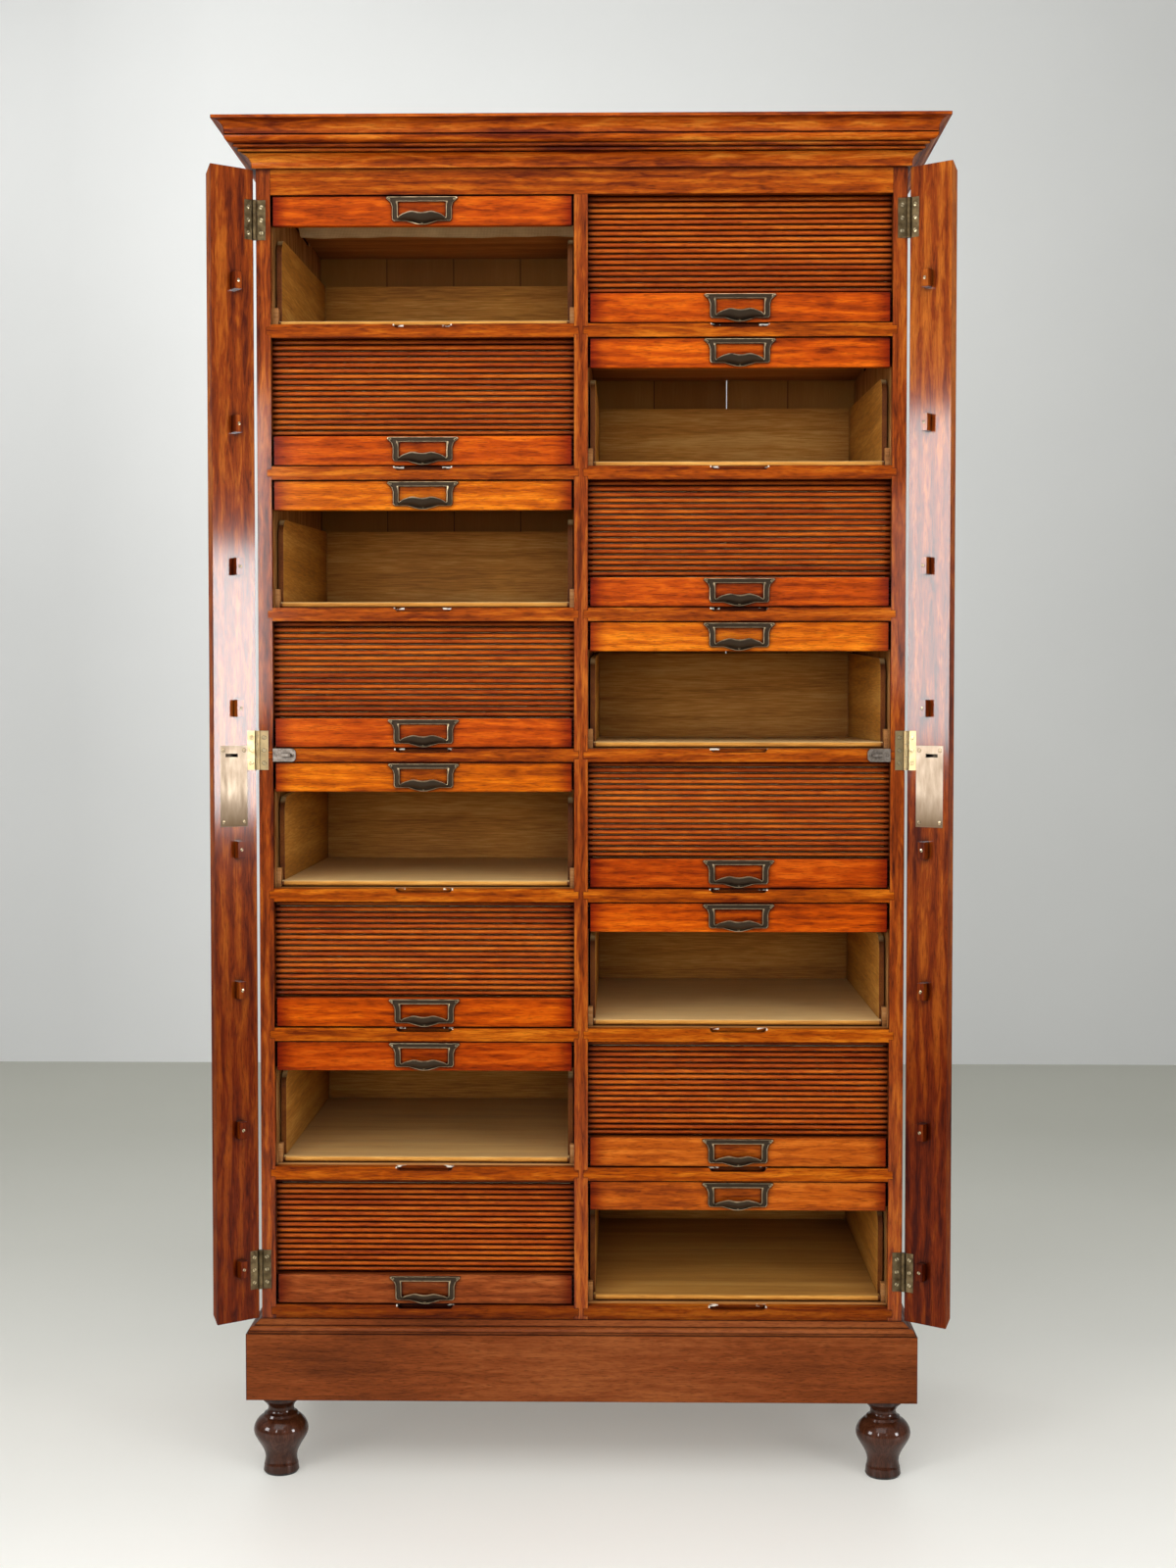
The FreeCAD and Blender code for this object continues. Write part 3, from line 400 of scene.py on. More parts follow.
def boardJoints(tree, coords, colour):
    # the place counted in boards: its whole part picks a tone, the way to the next whole finds the joint
    width, shift = backBoards["width"], backBoards["shift"]
    side = addNode(tree, "SeparateXYZ", (coords,), out="X")
    moved = addNode(tree, "Math", (side, backBoards["opened"] * width + shift / 2, shift),
                    operation="COMPARE")
    side = addNode(tree, "Math", (moved, -shift, side), operation="MULTIPLY_ADD")
    count = addNode(tree, "Math", (side, width), operation="DIVIDE")
    board = addNode(tree, "Math", (count,), operation="FLOOR")
    tint = addNode(tree, "TexWhiteNoise", {"W": board}, noise_dimensions="1D")
    tint = addNode(tree, "ValToRGB", (tint,), stops=backBoards["boardTones"])
    away = addNode(tree, "Math", (count, 0.5), operation="PINGPONG")
    joint = addNode(tree, "MapRange", (away, 0, backBoards["joint"] / width))
    joint = addNode(tree, "ValToRGB", (joint,), stops=backBoards["jointTones"])
    facing = addNode(tree, "SeparateXYZ", (addNode(tree, "NewGeometry", out="Normal"),), out="Y")
    inside = addNode(tree, "MapRange", (facing, *backBoards["turn"], 0, backBoards["insideShare"]))
    colour = addNode(tree, "Mix", {"Factor": inside, "A": colour, "B": linear(backBoards["inside"])}, **paint)
    for shade in (tint, joint):
        colour = addNode(tree, "Mix", {"Factor": backBoards["share"], "A": colour, "B": shade}, **multiply)
    return colour


def waxedOak(name, grain, tones, roughness=0.55, extra=None):
    # broad and fine noise, stretched along the grain and mixed in halves, pick from three tones
    material, tree, shader = newMaterial(name)
    own = coords = addNode(tree, "TexCoord", out="Object")
    if grain == "box":  # the sides' grain runs from front to back, all other boards' across
        coords = turnGrain(tree, coords, boxSides(tree, own))
    layers = []
    for width, detail in zip((oakBoard["broad"], oakBoard["line"]), oakBoard["details"]):
        place = grainPlace(tree, coords, grain, width, oakBoard["stretch"])
        layers.append(addNode(tree, "TexNoise", {"Vector": place, "Scale": 1.0, "Detail": detail,
                                                 "Distortion": oakBoard["bend"]}))
    mixed = addNode(tree, "Mix", {"Factor": 0.5, "A": layers[0], "B": layers[1]})
    colour = addNode(tree, "ValToRGB", (mixed,), stops=list(zip(oakBoard["tonePlaces"], tones)))
    colour = settleGrime(tree, colour, oakBoard["grimeAndShade"])
    if extra:
        colour = extra(tree, own, colour)
    rough = addNode(tree, "MapRange", (layers[1], 0, 1, roughness - oakBoard["smoother"],
                                       roughness + oakBoard["rougher"]))
    bump = addNode(tree, "Bump", {"Height": layers[1], **oakBoard["bump"]})
    feed(tree, shader, {"Base Color": colour, "Roughness": rough, "Normal": bump, **oakBoard["surface"]})
    return material


# brass: lacquer long gone, browned in the hollows and rubbed bright where fingers and flaps touch it, with
# painted shade darkening the hollows and screw slots further; the nickelled steel has worn in the same way,
# in greys
brass = dict(worn=(0.3, 0.7), detail=4.0, stainRoughness=0.55, dirtAndShade="#1c1610", rougher=0.12, smoother=0.08,
             grimeAndShade=dict(share=0.97, samples=8, layers=((14, 0.3, "#0c0806", 0.8),)), touched=(0.12, 0.55),
             keptLevel=956 * mm, keptReach=50 * mm, keptShare=0.6, brownShare=0.3, plateLeast=0.5,
             brownHeights=(860 * mm, 900 * mm), brownLeast=0.1, bump={"Strength": 0.1, "Distance": 0.1 * mm})


def agedBrass(name, dull, bright, roughness, rubbed="patches", patch=9, stretch=1):
    # stains mix the dull tone with the bright one, and rubbed says where the metal stayed bright; patch is
    # their size in mm, stretch how many times longer they are up and down, as brushing leaves them
    material, tree, shader = newMaterial(name)
    coords = addNode(tree, "TexCoord", out="Object")
    place = grainPlace(tree, coords, "Z", patch, stretch)
    stains = addNode(tree, "TexNoise", {"Vector": place, "Scale": 1.0, "Detail": brass["detail"],
                                        "Roughness": brass["stainRoughness"]})
    worn = addNode(tree, "MapRange", (stains, *brass["worn"]))
    if rubbed == "tone":  # each point carries its own wear
        tone = addNode(tree, "Attribute", out="Fac", attribute_name="tone")
        worn = addNode(tree, "Math", (tone, stains), operation="MULTIPLY")
        worn = addNode(tree, "MapRange", (worn, *brass["touched"]))
    if rubbed in ("middle", "upper"):
        height = addNode(tree, "SeparateXYZ", (coords,), out="Z")
    if rubbed == "middle":  # the hinges beside the locks were kept polished, the others have gone brown
        near = addNode(tree, "Math", (height, brass["keptLevel"], brass["keptReach"]), operation="COMPARE")
        worn = addNode(tree, "MapRange", (worn, 0, 1, 0, brass["brownShare"]))
        worn = addNode(tree, "Math", (near, brass["keptShare"], worn), operation="MULTIPLY_ADD")
    if rubbed == "upper":  # the lock plates have stayed brown at their lower ends
        upper = addNode(tree, "MapRange", (height, *brass["brownHeights"], brass["brownLeast"]))
        worn = addNode(tree, "MapRange", (worn, 0, 1, brass["plateLeast"]))
        worn = addNode(tree, "Math", (worn, upper), operation="MULTIPLY")
    # painted shade, with dirt, where a screw's groove value says: in its slot and round its rim
    dirtAndShade = addNode(tree, "Attribute", out="Fac", attribute_name="groove")
    colour = addNode(tree, "Mix", {"Factor": worn, "A": linear(dull), "B": linear(bright)}, **paint)
    colour = addNode(tree, "Mix", {"Factor": dirtAndShade, "A": colour, "B": linear(brass["dirtAndShade"])}, **paint)
    colour = settleGrime(tree, colour, brass["grimeAndShade"])
    rough = addNode(tree, "MapRange", (worn, 0, 1, roughness + brass["rougher"],
                                       roughness - brass["smoother"]))
    bump = addNode(tree, "Bump", {"Height": stains, **brass["bump"]})
    feed(tree, shader, {"Base Color": colour, "Roughness": rough, "Normal": bump, "Metallic": 1.0})
    return material


# the finishes: three tones for each wood, dark to light, and two for each metal, dull and bright
mahoganyUpright = polishedMahogany("upright", "Z", ("#481503", "#8e3a08", "#bc6418"), coat=0.5,
                                   coatRoughness=0.1)
mahoganyFlap = polishedMahogany("flap", "Z", ("#501805", "#8c3808", "#be661a"), 0.4, 0.72, 0.09,
                                dullAndShadedBelow=(0.55, 0.9), bold=0.1, edgeShadeAndGrime=0.6)
mahoganySide = polishedMahogany("side", "Z", ("#622206", "#923e0b", "#b45e18"), extra=oakInside, calm=0.28)
mahoganyAcross = polishedMahogany("across", "X", ("#622003", "#9c4203", "#c86c14"))
mahoganyRail = polishedMahogany("rail", "X", ("#642204", "#a04604", "#cc7014"), extra=notchChips)
# the laths were cut from different boards: the compartments of each tone; the lowest lath's brown is also
# painted shade, darker towards the bottom
lathTones = {"golden": (("#8a3802", "#c45c02", "#ea8410"), "L3 R4 L5"),
             "orange": (("#7a2802", "#b64602", "#dc680a"), "L1 L2 L4 L6 R1 R2 R3 R6"),
             "red": (("#722202", "#a63c02", "#c8580c"), "L7 R5"),
             "tawny": (("#78300c", "#b05210", "#d07020"), "R7 R8"),
             "brown": (("#62280e", "#8c421a", "#aa5c2a"), "L8")}
lathFinish = {}
for kind, (tones, names) in lathTones.items():
    made = polishedMahogany(kind + " lath", "X", tones, extra=darkEnds)
    lathFinish.update({name: made for name in names.split()})
mahoganySlat = polishedMahogany("slat", "X", ("#8c3408", "#b04c0e", "#cc681a"), extra=darkHollows,
                                perPiece=True, edgeShadeAndGrime=0.0)
mahoganyMould = polishedMahogany("mouldings", "corner", ("#6c240a", "#b8520c", "#e68a2c"))
mahoganyPlinth = polishedMahogany("plinth", "corner", ("#56280f", "#783a18", "#925026"), warp=2.2, bold=0.04,
                                  calm=0.65)
mahoganyTurned = polishedMahogany("turned", "Z", ("#30160a", "#432212", "#563020"), 0.3, 0.6, 0.08,
                                  edgeShadeAndGrime=0.0, bold=0.0)
oakBox = waxedOak("waxed oak, boxes", "box", ("#a66c26", "#d0903a", "#e8b25c"), extra=handledEdges)
oakAcross = waxedOak("waxed oak, across", "X", ("#a46c34", "#cc8e50", "#e2ae72"))
oakUpright = waxedOak("waxed oak, upright", "Z", ("#8a5628", "#b27840", "#ca945a"))
dealBoard = waxedOak("planed deal", "Z", ("#764626", "#945c34", "#b07a4a"), roughness=0.7, extra=boardJoints)
pullBrass = agedBrass("cast brass, browned", "#4a3e32", "#d8c09a", 0.4, "tone")
hingeBrass = agedBrass("rolled brass, browned", "#4c3d28", "#d4ba8a", 0.42, "middle")
lockBrass = agedBrass("brushed brass, worn", "#7c664c", "#c2af9a", 0.5, "upper", patch=7, stretch=4)
screwBrass = agedBrass("turned brass, worn", "#b8a47c", "#e6d6b0", 0.35, patch=3)
plateSteel = agedBrass("nickelled steel, worn", "#84766a", "#c0b4a8", 0.4, patch=5)

# unbleached canvas: matt plain weave, threads drawn about 2 mm apart, coarser than real ones, so they show
canvas = dict(thread=1.9625 * mm, bend=0.6, stain=25 * mm, detail=4.0, weaveShare=0.4, roughness=0.9,
              stops=((0.2, "#c8b488"), (0.5, "#ecdcb2"), (0.8, "#f8eccc")),
              bump={"Strength": 0.4, "Distance": 0.3 * mm})
canvasCloth, tree, shader = newMaterial("cotton canvas, woven")
coords = addNode(tree, "TexCoord", out="Object")
threads = [addNode(tree, "TexWave", {"Vector": coords, "Scale": waveTurn / canvas["thread"],
                                     "Distortion": canvas["bend"]}, out="Fac", bands_direction=axis)
           for axis in ("X", "Y")]
weave = addNode(tree, "Math", (threads[0], threads[1]), operation="MULTIPLY")
stain = {"Vector": coords, "Scale": 1 / canvas["stain"], "Detail": canvas["detail"]}
stain = addNode(tree, "TexNoise", stain)
shade = addNode(tree, "Mix", {"Factor": canvas["weaveShare"], "A": stain, "B": weave})
colour = addNode(tree, "ValToRGB", (shade,), stops=canvas["stops"])
bump = addNode(tree, "Bump", {"Height": weave, **canvas["bump"]})
feed(tree, shader, {"Base Color": colour, "Normal": bump, "Roughness": canvas["roughness"]})

finishes = [(mahoganySide, "side_left side_right"), (mahoganyUpright, "stiles"),
            (mahoganyFlap, "flap_left flap_right"), (mahoganyAcross, "top_board frieze"),
            (mahoganyRail, "rails"), (mahoganyMould, "cornice"), (mahoganyPlinth, "plinth"),
            (mahoganyTurned, "feet"), (oakUpright, "partition"), (dealBoard, "back_boards"),
            (oakBox, "boxes"), (oakAcross, "dust_boards bottom_board guide_blocks"),
            (lockBrass, "lock_left lock_right"),
            (hingeBrass, "hinge_leaves_frame hinge_leaves_left hinge_leaves_right"),
            (plateSteel, "lock_bolt_left lock_bolt_right link_plates")]
finishes += [(lathFinish[name], "shutter_rail_" + name) for name in compartments]
for finish, names in finishes:
    for name in names.split():
        slots = nodes[name].data.materials
        slots.clear()
        slots.append(finish)
print("finishes:", len(finishes))

# slatted curtains: half-round slats on canvas, round a bend and back along the top of each compartment
curtain = dict(pitch=7.35 * mm, slatWidth=6.9 * mm, slatHeight=5.5 * mm, shoulder=2.0 * mm, count=28,
               arcPoints=7, length=397.5 * mm, front=13 * mm, bend=15 * mm, runLift=5.3 * mm,
               firstLift=7 * mm, hidden=26.8 * mm, clothThick=0.7 * mm, clothWidth=380 * mm,
               clothColumns=13, runRows=27, foldedRows=30, shutRows=12, foldSteps=400, clothTail=60 * mm,
               frayedTail=32 * mm, tailSag=2 * mm, frayedCurl=9 * mm,
               ripples=((0.08, 31 * mm), (0.06, 9 * mm)), toneSpread=3, coverSeed=50)
slatBase = curtain["front"] + curtain["slatHeight"]
bendLength = curtain["bend"] * math.pi / 2


def curtainLine(along, bendZ):
    # the curtain's line in (y, z): straight up to bendZ, a quarter circle back, then level;
    # along is the way past the bend's foot, and the second pair points out to the slats' round side
    turn = np.clip(along / curtain["bend"], 0, math.pi / 2)
    y = frontY + slatBase + curtain["bend"] * (1 - np.cos(turn)) + np.maximum(along - bendLength, 0)
    z = bendZ + curtain["bend"] * np.sin(turn) + np.minimum(along, 0)
    return y, z, -np.cos(turn), np.sin(turn)


def slatParts(x, places, lineOf, seed):
    # half-round slats: a flat back, two short shoulders and an arc, carried straight along X
    arc = np.linspace(0, math.pi, curtain["arcPoints"])
    half, rise = curtain["slatWidth"] / 2, curtain["slatHeight"] - curtain["shoulder"]
    across = np.concatenate([[half, -half], -half * np.cos(arc)])
    out = np.concatenate([[0, 0], curtain["shoulder"] + rise * np.sin(arc)])
    y, z, outY, outZ = lineOf(places[:, None] + across)
    points = np.empty((len(places), 2, len(across), 3))
    points[..., 0] = (x + curtain["length"] * np.array([-0.5, 0.5]))[:, None]
    points[..., 1] = (y + out * outY)[:, None]
    points[..., 2] = (z + out * outZ)[:, None]
    faces = cappedTube(2, len(across))
    groove = np.tile(1 - out / curtain["slatHeight"], 2)
    tones = np.random.default_rng(seed).uniform(0, curtain["toneSpread"], len(places))
    return [(slat, faces, 0, tone, groove) for slat, tone in zip(points, tones)]


def clothPart(x, along, lineOf, waves=None):
    # canvas strip: a grid across the width and along the line, with an under side one thickness below
    wide = curtain["clothWidth"] * np.linspace(-0.5, 0.5, curtain["clothColumns"])
    depth = curtain["clothThick"] * np.array([[0], [-1]])
    y, z, outY, outZ = lineOf(along)
    sheets = np.empty((len(wide), 2, len(along), 3))
    sheets[..., 0] = (x + wide)[:, None, None]
    sheets[..., 1] = y + depth * outY
    sheets[..., 2] = z + depth * outZ
    if waves is not None:
        sheets[..., 2] += waves(wide)[:, None]
    loop = np.concatenate([sheets[:, 0], sheets[:, 1, ::-1]], 1)
    return loop, cappedTube(*loop.shape[:2]), 1, 0.0


for number, name in enumerate(compartments):
    x = columnX[name[0]]
    lifted = name in openShutters
    bendZ = openingBottom(name) + cabinet["openingHeight"] + curtain["runLift"] - curtain["bend"]
    start = openingBottom(name) + curtain["firstLift"] + (cabinet["travel"] if lifted else 0)
    places = start - bendZ + curtain["pitch"] * np.arange(curtain["count"])
    line = lambda along: curtainLine(along, bendZ)
    upright = places <= 0

    # the part that has gone round the bend stays on the carcase
    run = makePiece("slat_run_" + name, slatParts(x, places[~upright], line, number), [mahoganySlat],
                    "carcase")
    # its free tail sinks towards the end in shallow waves; the top left one is frayed and curls down
    frayed = name == "L1"
    tail = curtain["frayedTail"] if frayed else curtain["clothTail"]
    curl = curtain["frayedCurl"] if frayed else 0
    tailEnd = places[-1] + curtain["pitch"] + tail
    along = np.linspace(0, 1, curtain["runRows"]) * tailEnd
    loose = np.clip((along - places[-1]) / tail, 0, 1)
    sink = curtain["tailSag"] * loose ** 2 + curl * loose ** 4
    ripple = lambda wide: 1 + sum(size * np.sin(wide / length) for size, length in curtain["ripples"])
    sag = lambda wide: -sink * ripple(wide)[:, None]
    cloth = makePiece("canvas_" + name, [clothPart(x, along, line, sag)], [mahoganySlat, canvasCloth],
                      "carcase")

    if lifted:
        # folded up behind the lath: a point d below the bend when shut waits t * hidden below it, where
        # t * hidden + travel * (3 t^2 - 2 t^3) = d
        table = np.linspace(0, 1, curtain["foldSteps"])
        drop = table * curtain["hidden"] + cabinet["travel"] * table ** 2 * (3 - 2 * table)

        def folded(along):
            # the curtain's own line past the bend, and below it the waiting height t * hidden
            y, z, outY, outZ = curtainLine(along, bendZ)
            below = bendZ - np.interp(-along, drop, table) * curtain["hidden"]
            return y, np.where(along > 0, z, below), outY, outZ

        shutPlaces = places - cabinet["travel"]
        slats = slatParts(x, shutPlaces[shutPlaces <= 0], folded, number + curtain["coverSeed"])
        backing = clothPart(x, np.linspace(-drop[-1], 0, curtain["foldedRows"]), folded)
    else:
        slats = slatParts(x, places[upright], line, number + curtain["coverSeed"])
        foot = places[0] - curtain["slatWidth"] / 2
        backing = clothPart(x, np.linspace(foot, 0, curtain["shutRows"]), line)
    cover = makePiece("slat_curtain_" + name, slats + [backing], [mahoganySlat, canvasCloth],
                      None if lifted else "carcase")
    if lifted:
        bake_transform(cover)
    else:
        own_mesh(cover)
    if name == "L1":
        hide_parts("slats_open")
        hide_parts("canvas")
    if name == "L2":
        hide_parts("slats_closed")
print("curtains:", len(compartments))

# brass card pulls: pairs of corner points of the right half, outer edge and window edge, from the top middle
# down to the lobe, in mm from the pull's middle line and from the lath's lower edge;
# the lip's values are mm too, its lobe and root give height, place and width as shares of half the lip;
# pins are x, z, depth and radius
pull = dict(outer=[(0, 36.5), (31, 36.5), (45, 36.5), (46.5, 35), (40.5, 29.5), (38.5, 24), (38.5, 8),
                   (36.6, 5.5), (20, 5.5), (11, 2.6), (5, 0.9), (0, 0.5)],
            inner=[(0, 30.3), (28.5, 30.3), (31, 30), (31, 28.5), (31, 25), (31, 20), (31, 11.5), (30, 9.6),
                   (18, 9.5), (10, 9.5), (4, 9.5), (0, 9.5)],
            steps=45, lipGrid=(33, 9), lipHalf=30, lipReach=9.9, lipWall=1.2, lipSunk=0.3, lipEdge=9.5,
            lipBow=5, lipLobe=(1.8, 0.42, 0.22), lipRoot=6, lipDip=(3, 0.33), lipTaper=0.45, lipRound=0.9,
            lipStraight=0.35, lipWear=0.8, lipThin=0.4, lipDrop=0.8,
            pins=((-42, 33.2, -0.2, 1.9), (42, 33.2, -0.2, 1.9), (0, 3.4, -1.0, 1.7)))
# the bar's section: share of the way from window edge to outer edge, depth in mm behind the front plane, wear
pullSection = np.array([(0, 2.5, 0), (0, 0.0, 0.3), (0.03, -0.7, 1), (0.12, -0.8, 1), (0.2, 0.1, 0.2),
                        (0.5, 0.4, 0), (0.82, 0.2, 0.1), (0.9, -0.5, 0.9), (0.97, -0.4, 0.9), (1, 0.3, 0.4),
                        (1, 2.5, 0)])


def pullParts(x, low):
    # frame: the bar's section carried round between the window's edge and the outer edge
    index = np.arange(len(pull["outer"]))
    keys = np.linspace(0, index[-1], pull["steps"])
    halves = [np.stack([np.interp(keys, index, axis) for axis in np.array(pull[edge]).T], -1)
              for edge in ("inner", "outer")]
    inner, outer = [np.concatenate([half, (half * [-1, 1])[-2:0:-1]]) for half in halves]
    share = pullSection[:, 0][None, :, None]
    flat = inner[:, None] * (1 - share) + outer[:, None] * share
    depth, wear = [np.broadcast_to(pullSection[:, k], flat.shape[:2]) for k in (1, 2)]
    points = np.stack([x + flat[..., 0] * mm, frontY + depth * mm, low + flat[..., 1] * mm], -1)
    bar = (points, [quadGrid(*flat.shape[:2], wrapRows=True, wrapCols=True)], 0, wear)

    # finger lip: s runs across it, t out from the lower bar and up a quarter turn to a bow-shaped edge with
    # two lobes; its inner side lies one wall behind, thinner at the root
    across, up = pull["lipGrid"]
    s, t = np.meshgrid(np.linspace(-1, 1, across), np.linspace(0, 1, up), indexing="ij")
    lobe, lobePlace, lobeWidth = pull["lipLobe"]
    dip, dipWidth = pull["lipDip"]
    bow = (pull["lipEdge"] + pull["lipBow"] * (1 - s ** 6)
           + lobe * np.exp(-((np.abs(s) - lobePlace) / lobeWidth) ** 2))
    root = pull["lipRoot"] - dip * np.exp(-(s / dipWidth) ** 2)
    swing = t * math.pi / 2
    reach = pull["lipReach"] * (1 - pull["lipTaper"] * s ** 4) * np.sin(swing) ** pull["lipRound"]
    straight, wall = pull["lipStraight"], pull["lipWall"] * mm
    height = root + (bow - root) * (straight * t + (1 - straight) * (1 - np.cos(swing)))
    outside = np.stack([x + pull["lipHalf"] * s * mm, frontY + (pull["lipSunk"] - reach) * mm,
                        low + height * mm], -1)
    thin, drop = pull["lipThin"], pull["lipDrop"]
    inside = outside + np.stack([np.zeros_like(s), wall * (thin + (1 - thin) * t), wall * drop * (1 - t)], -1)
    loop = np.concatenate([outside, inside[:, ::-1]], 1)
    wear = pull["lipWear"] * np.concatenate([t, t[:, ::-1]], 1) ** 9
    return [bar, (loop, cappedTube(*loop.shape[:2]), 0, wear)]


# slotted screws, a shallow dome cut by a slot: slot and strips as shares of the radius, the rest in mm
screw = dict(slot=0.34, strip=0.75, points=5, dome=0.28, sunk=0.45, skirt=1.0, least=0.02, rim=0.97, dust=0.1)


def screwPart(centre, normal, radius, angle, index=0, tone=0.8):
    # strips across the head at fixed shares of the radius; the two middle strips drop to form the slot
    half, strip = screw["slot"] / 2, screw["strip"]
    share = np.array([-1, -strip, -half, -half, half, half, strip, 1])
    deep = np.array([0, 0, 0, 1, 1, 0, 0, 0])[:, None]
    u = share[:, None] * np.ones(screw["points"])
    v = np.sqrt(np.maximum(1 - share ** 2, screw["least"]))[:, None] * np.linspace(-1, 1, screw["points"])
    height = screw["dome"] * (1 - u ** 2 - v ** 2) - deep * screw["sunk"]
    normal = np.asarray(normal, float)
    sideways = np.cross([0, 0, 1], normal)
    upward = np.cross(normal, sideways)
    first = math.cos(angle) * sideways + math.sin(angle) * upward
    second = np.cross(normal, first)
    head = (np.asarray(centre) + radius * mm * (u[..., None] * first + v[..., None] * second)
            + height[..., None] * mm * normal).reshape(-1, 3)
    # a skirt hangs from the rim, so that the head goes down into its plate
    grid = np.arange(len(head)).reshape(u.shape)
    rim = np.concatenate([grid[0], grid[1:, -1], grid[-1, -2::-1], grid[-2:0:-1, 0]])
    skirt = head[rim] - normal * screw["skirt"] * mm
    low = len(head) + np.arange(len(rim))
    sides = np.stack([np.roll(rim, -1), rim, low, np.roll(low, -1)], -1)
    # painted shade, with dirt, in the slot and round the rim; the rest of the head gets a little of it
    slotAndRim = (deep > 0) | (u ** 2 + v ** 2 > screw["rim"])
    dirtAndShade = np.concatenate([np.where(slotAndRim, 1.0, screw["dust"]).ravel(), np.ones(len(rim))])
    return np.concatenate([head, skirt]), [quadGrid(*u.shape), sides], index, tone, dirtAndShade


forwards = (0, -1, 0)
turnCount, turnSeed = 400, 7
turns = np.random.default_rng(turnSeed).uniform(0, math.pi, turnCount)  # how far each screw was driven round
for number, name in enumerate(compartments):
    x = columnX[name[0]]
    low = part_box("shutter_rail_" + name)[0][2]
    parts = pullParts(x, low)
    for k, (dx, dz, depth, radius) in enumerate(pull["pins"]):
        parts.append(screwPart((x + dx * mm, frontY + depth * mm, low + dz * mm), forwards, radius,
                               turns[number * len(pull["pins"]) + k]))
    piece = makePiece("card_pull_" + name, parts, [pullBrass], "shutter_" + name)
    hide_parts("pull_" + name)
print("pulls:", len(compartments))

# screws of hinges, locks, stops and link plates; radii in mm, and steps that pick each screw's turn
flapSwing = dict(pinX=420.5 * mm, pinY=-1 * mm, angle=math.radians(143), face=-2 * mm)
fixings = dict(hingeLevels=(0.275, 0.956, 1.639), hingeStep=16.5 * mm, hingeFromEdge=6.8 * mm,
               hingeRadius=3.0, lockEdges=(17.3 * mm, 47.3 * mm), lockLevels=(863.5 * mm, 956.5 * mm),
               lockRadius=3.0, stopFromEdge=27 * mm, stopReach=11 * mm, stopLift=52 * mm, stopRadius=2.4,
               linkX=(375.2, 396.6), linkFace=-1.5 * mm, linkLevel=949.75 * mm, linkRadius=2.3, linkTurn=0.4,
               fixedPick=190, movingPick=170, lockPick=377, stopPick=9)


def swung(sign, points, turnOnly=False):
    # a place drawn with the flap shut, turned about the pin to where the flap stands open
    angle = sign * flapSwing["angle"]
    pin = np.array([sign * flapSwing["pinX"], frontY + flapSwing["pinY"], 0]) * (not turnOnly)
    cosine, sine = math.cos(angle), math.sin(angle)
    turn = np.array([[cosine, -sine, 0], [sine, cosine, 0], [0, 0, 1]])
    return (np.asarray(points) - pin) @ turn.T + pin


for sign, side in ((-1, "left"), (1, "right")):
    edge = cabinet["halfWidth"]
    flapY = frontY + flapSwing["face"]
    facing = swung(sign, (0, 1, 0), turnOnly=True)
    hingeX = sign * (edge - fixings["hingeFromEdge"])
    fixed, moving, lock, stops = [], [], [], []
    for level in fixings["hingeLevels"]:
        for step in (-1, 0, 1):
            z = level + step * fixings["hingeStep"]
            fixed.append(screwPart((hingeX, frontY, z), forwards, fixings["hingeRadius"],
                                   turns[int(z * fixings["fixedPick"]) % turnCount]))
            moving.append(screwPart(swung(sign, (hingeX, flapY, z)), facing, fixings["hingeRadius"],
                                    turns[int(z * fixings["movingPick"]) % turnCount]))
    for fromEdge in fixings["lockEdges"]:
        for z in fixings["lockLevels"]:
            spot = swung(sign, (sign * (edge - fromEdge), flapY, z))
            lock.append(screwPart(spot, facing, fixings["lockRadius"],
                                  turns[int((z + fromEdge) * fixings["lockPick"]) % turnCount]))
    for row in rows:
        spot = (sign * (edge - fixings["stopFromEdge"]), flapY + fixings["stopReach"],
                openingBottom("L" + str(row)) + fixings["stopLift"])
        stops.append(screwPart(swung(sign, spot), facing, fixings["stopRadius"],
                               turns[row * fixings["stopPick"]]))
    links = [screwPart((sign * x * mm, frontY + fixings["linkFace"], fixings["linkLevel"]), forwards,
                       fixings["linkRadius"], fixings["linkTurn"] + x) for x in fixings["linkX"]]
    makePiece("hinge_screws_frame_" + side, fixed, [screwBrass], "carcase")
    makePiece("hinge_screws_flap_" + side, moving, [screwBrass], "flap_" + side)
    makePiece("lock_screws_" + side, lock, [pullBrass], "flap_" + side)
    makePiece("stop_screws_" + side, stops, [screwBrass], "flap_" + side)
    makePiece("link_screws_" + side, links, [plateSteel], "carcase")
print("screws placed")

# floor, wall, light and camera: tones along the floor's depth and across the wall, at places in metres;
# lift is what the eye and mirrors see above the lamps' light
studio = dict(floor=((-3.2, "#848480"), (-1.3, "#b0b0ac"), (-0.5, "#e0dfd9"), (0.06, "#cccbc4"),
                     (0.44, "#bdbdb6"), (0.93, "#aeaea6"), (2.1, "#99998f"), (3.04, "#939389")),
              wall=((-1.5, "#d4d5d3"), (-1.1, "#e0e1df"), (1.8, "#cecfcc")), floorRoughness=0.5,
              floorLift=0.36, wallRoughness=0.8, wallLift=0.17, wallY=3.04, wallHeight=6, reach=14,
              mottle={"Scale": 0.8, "Detail": 4.0}, mottleStops=((0.3, 0.93), (0.7, 1.0)))


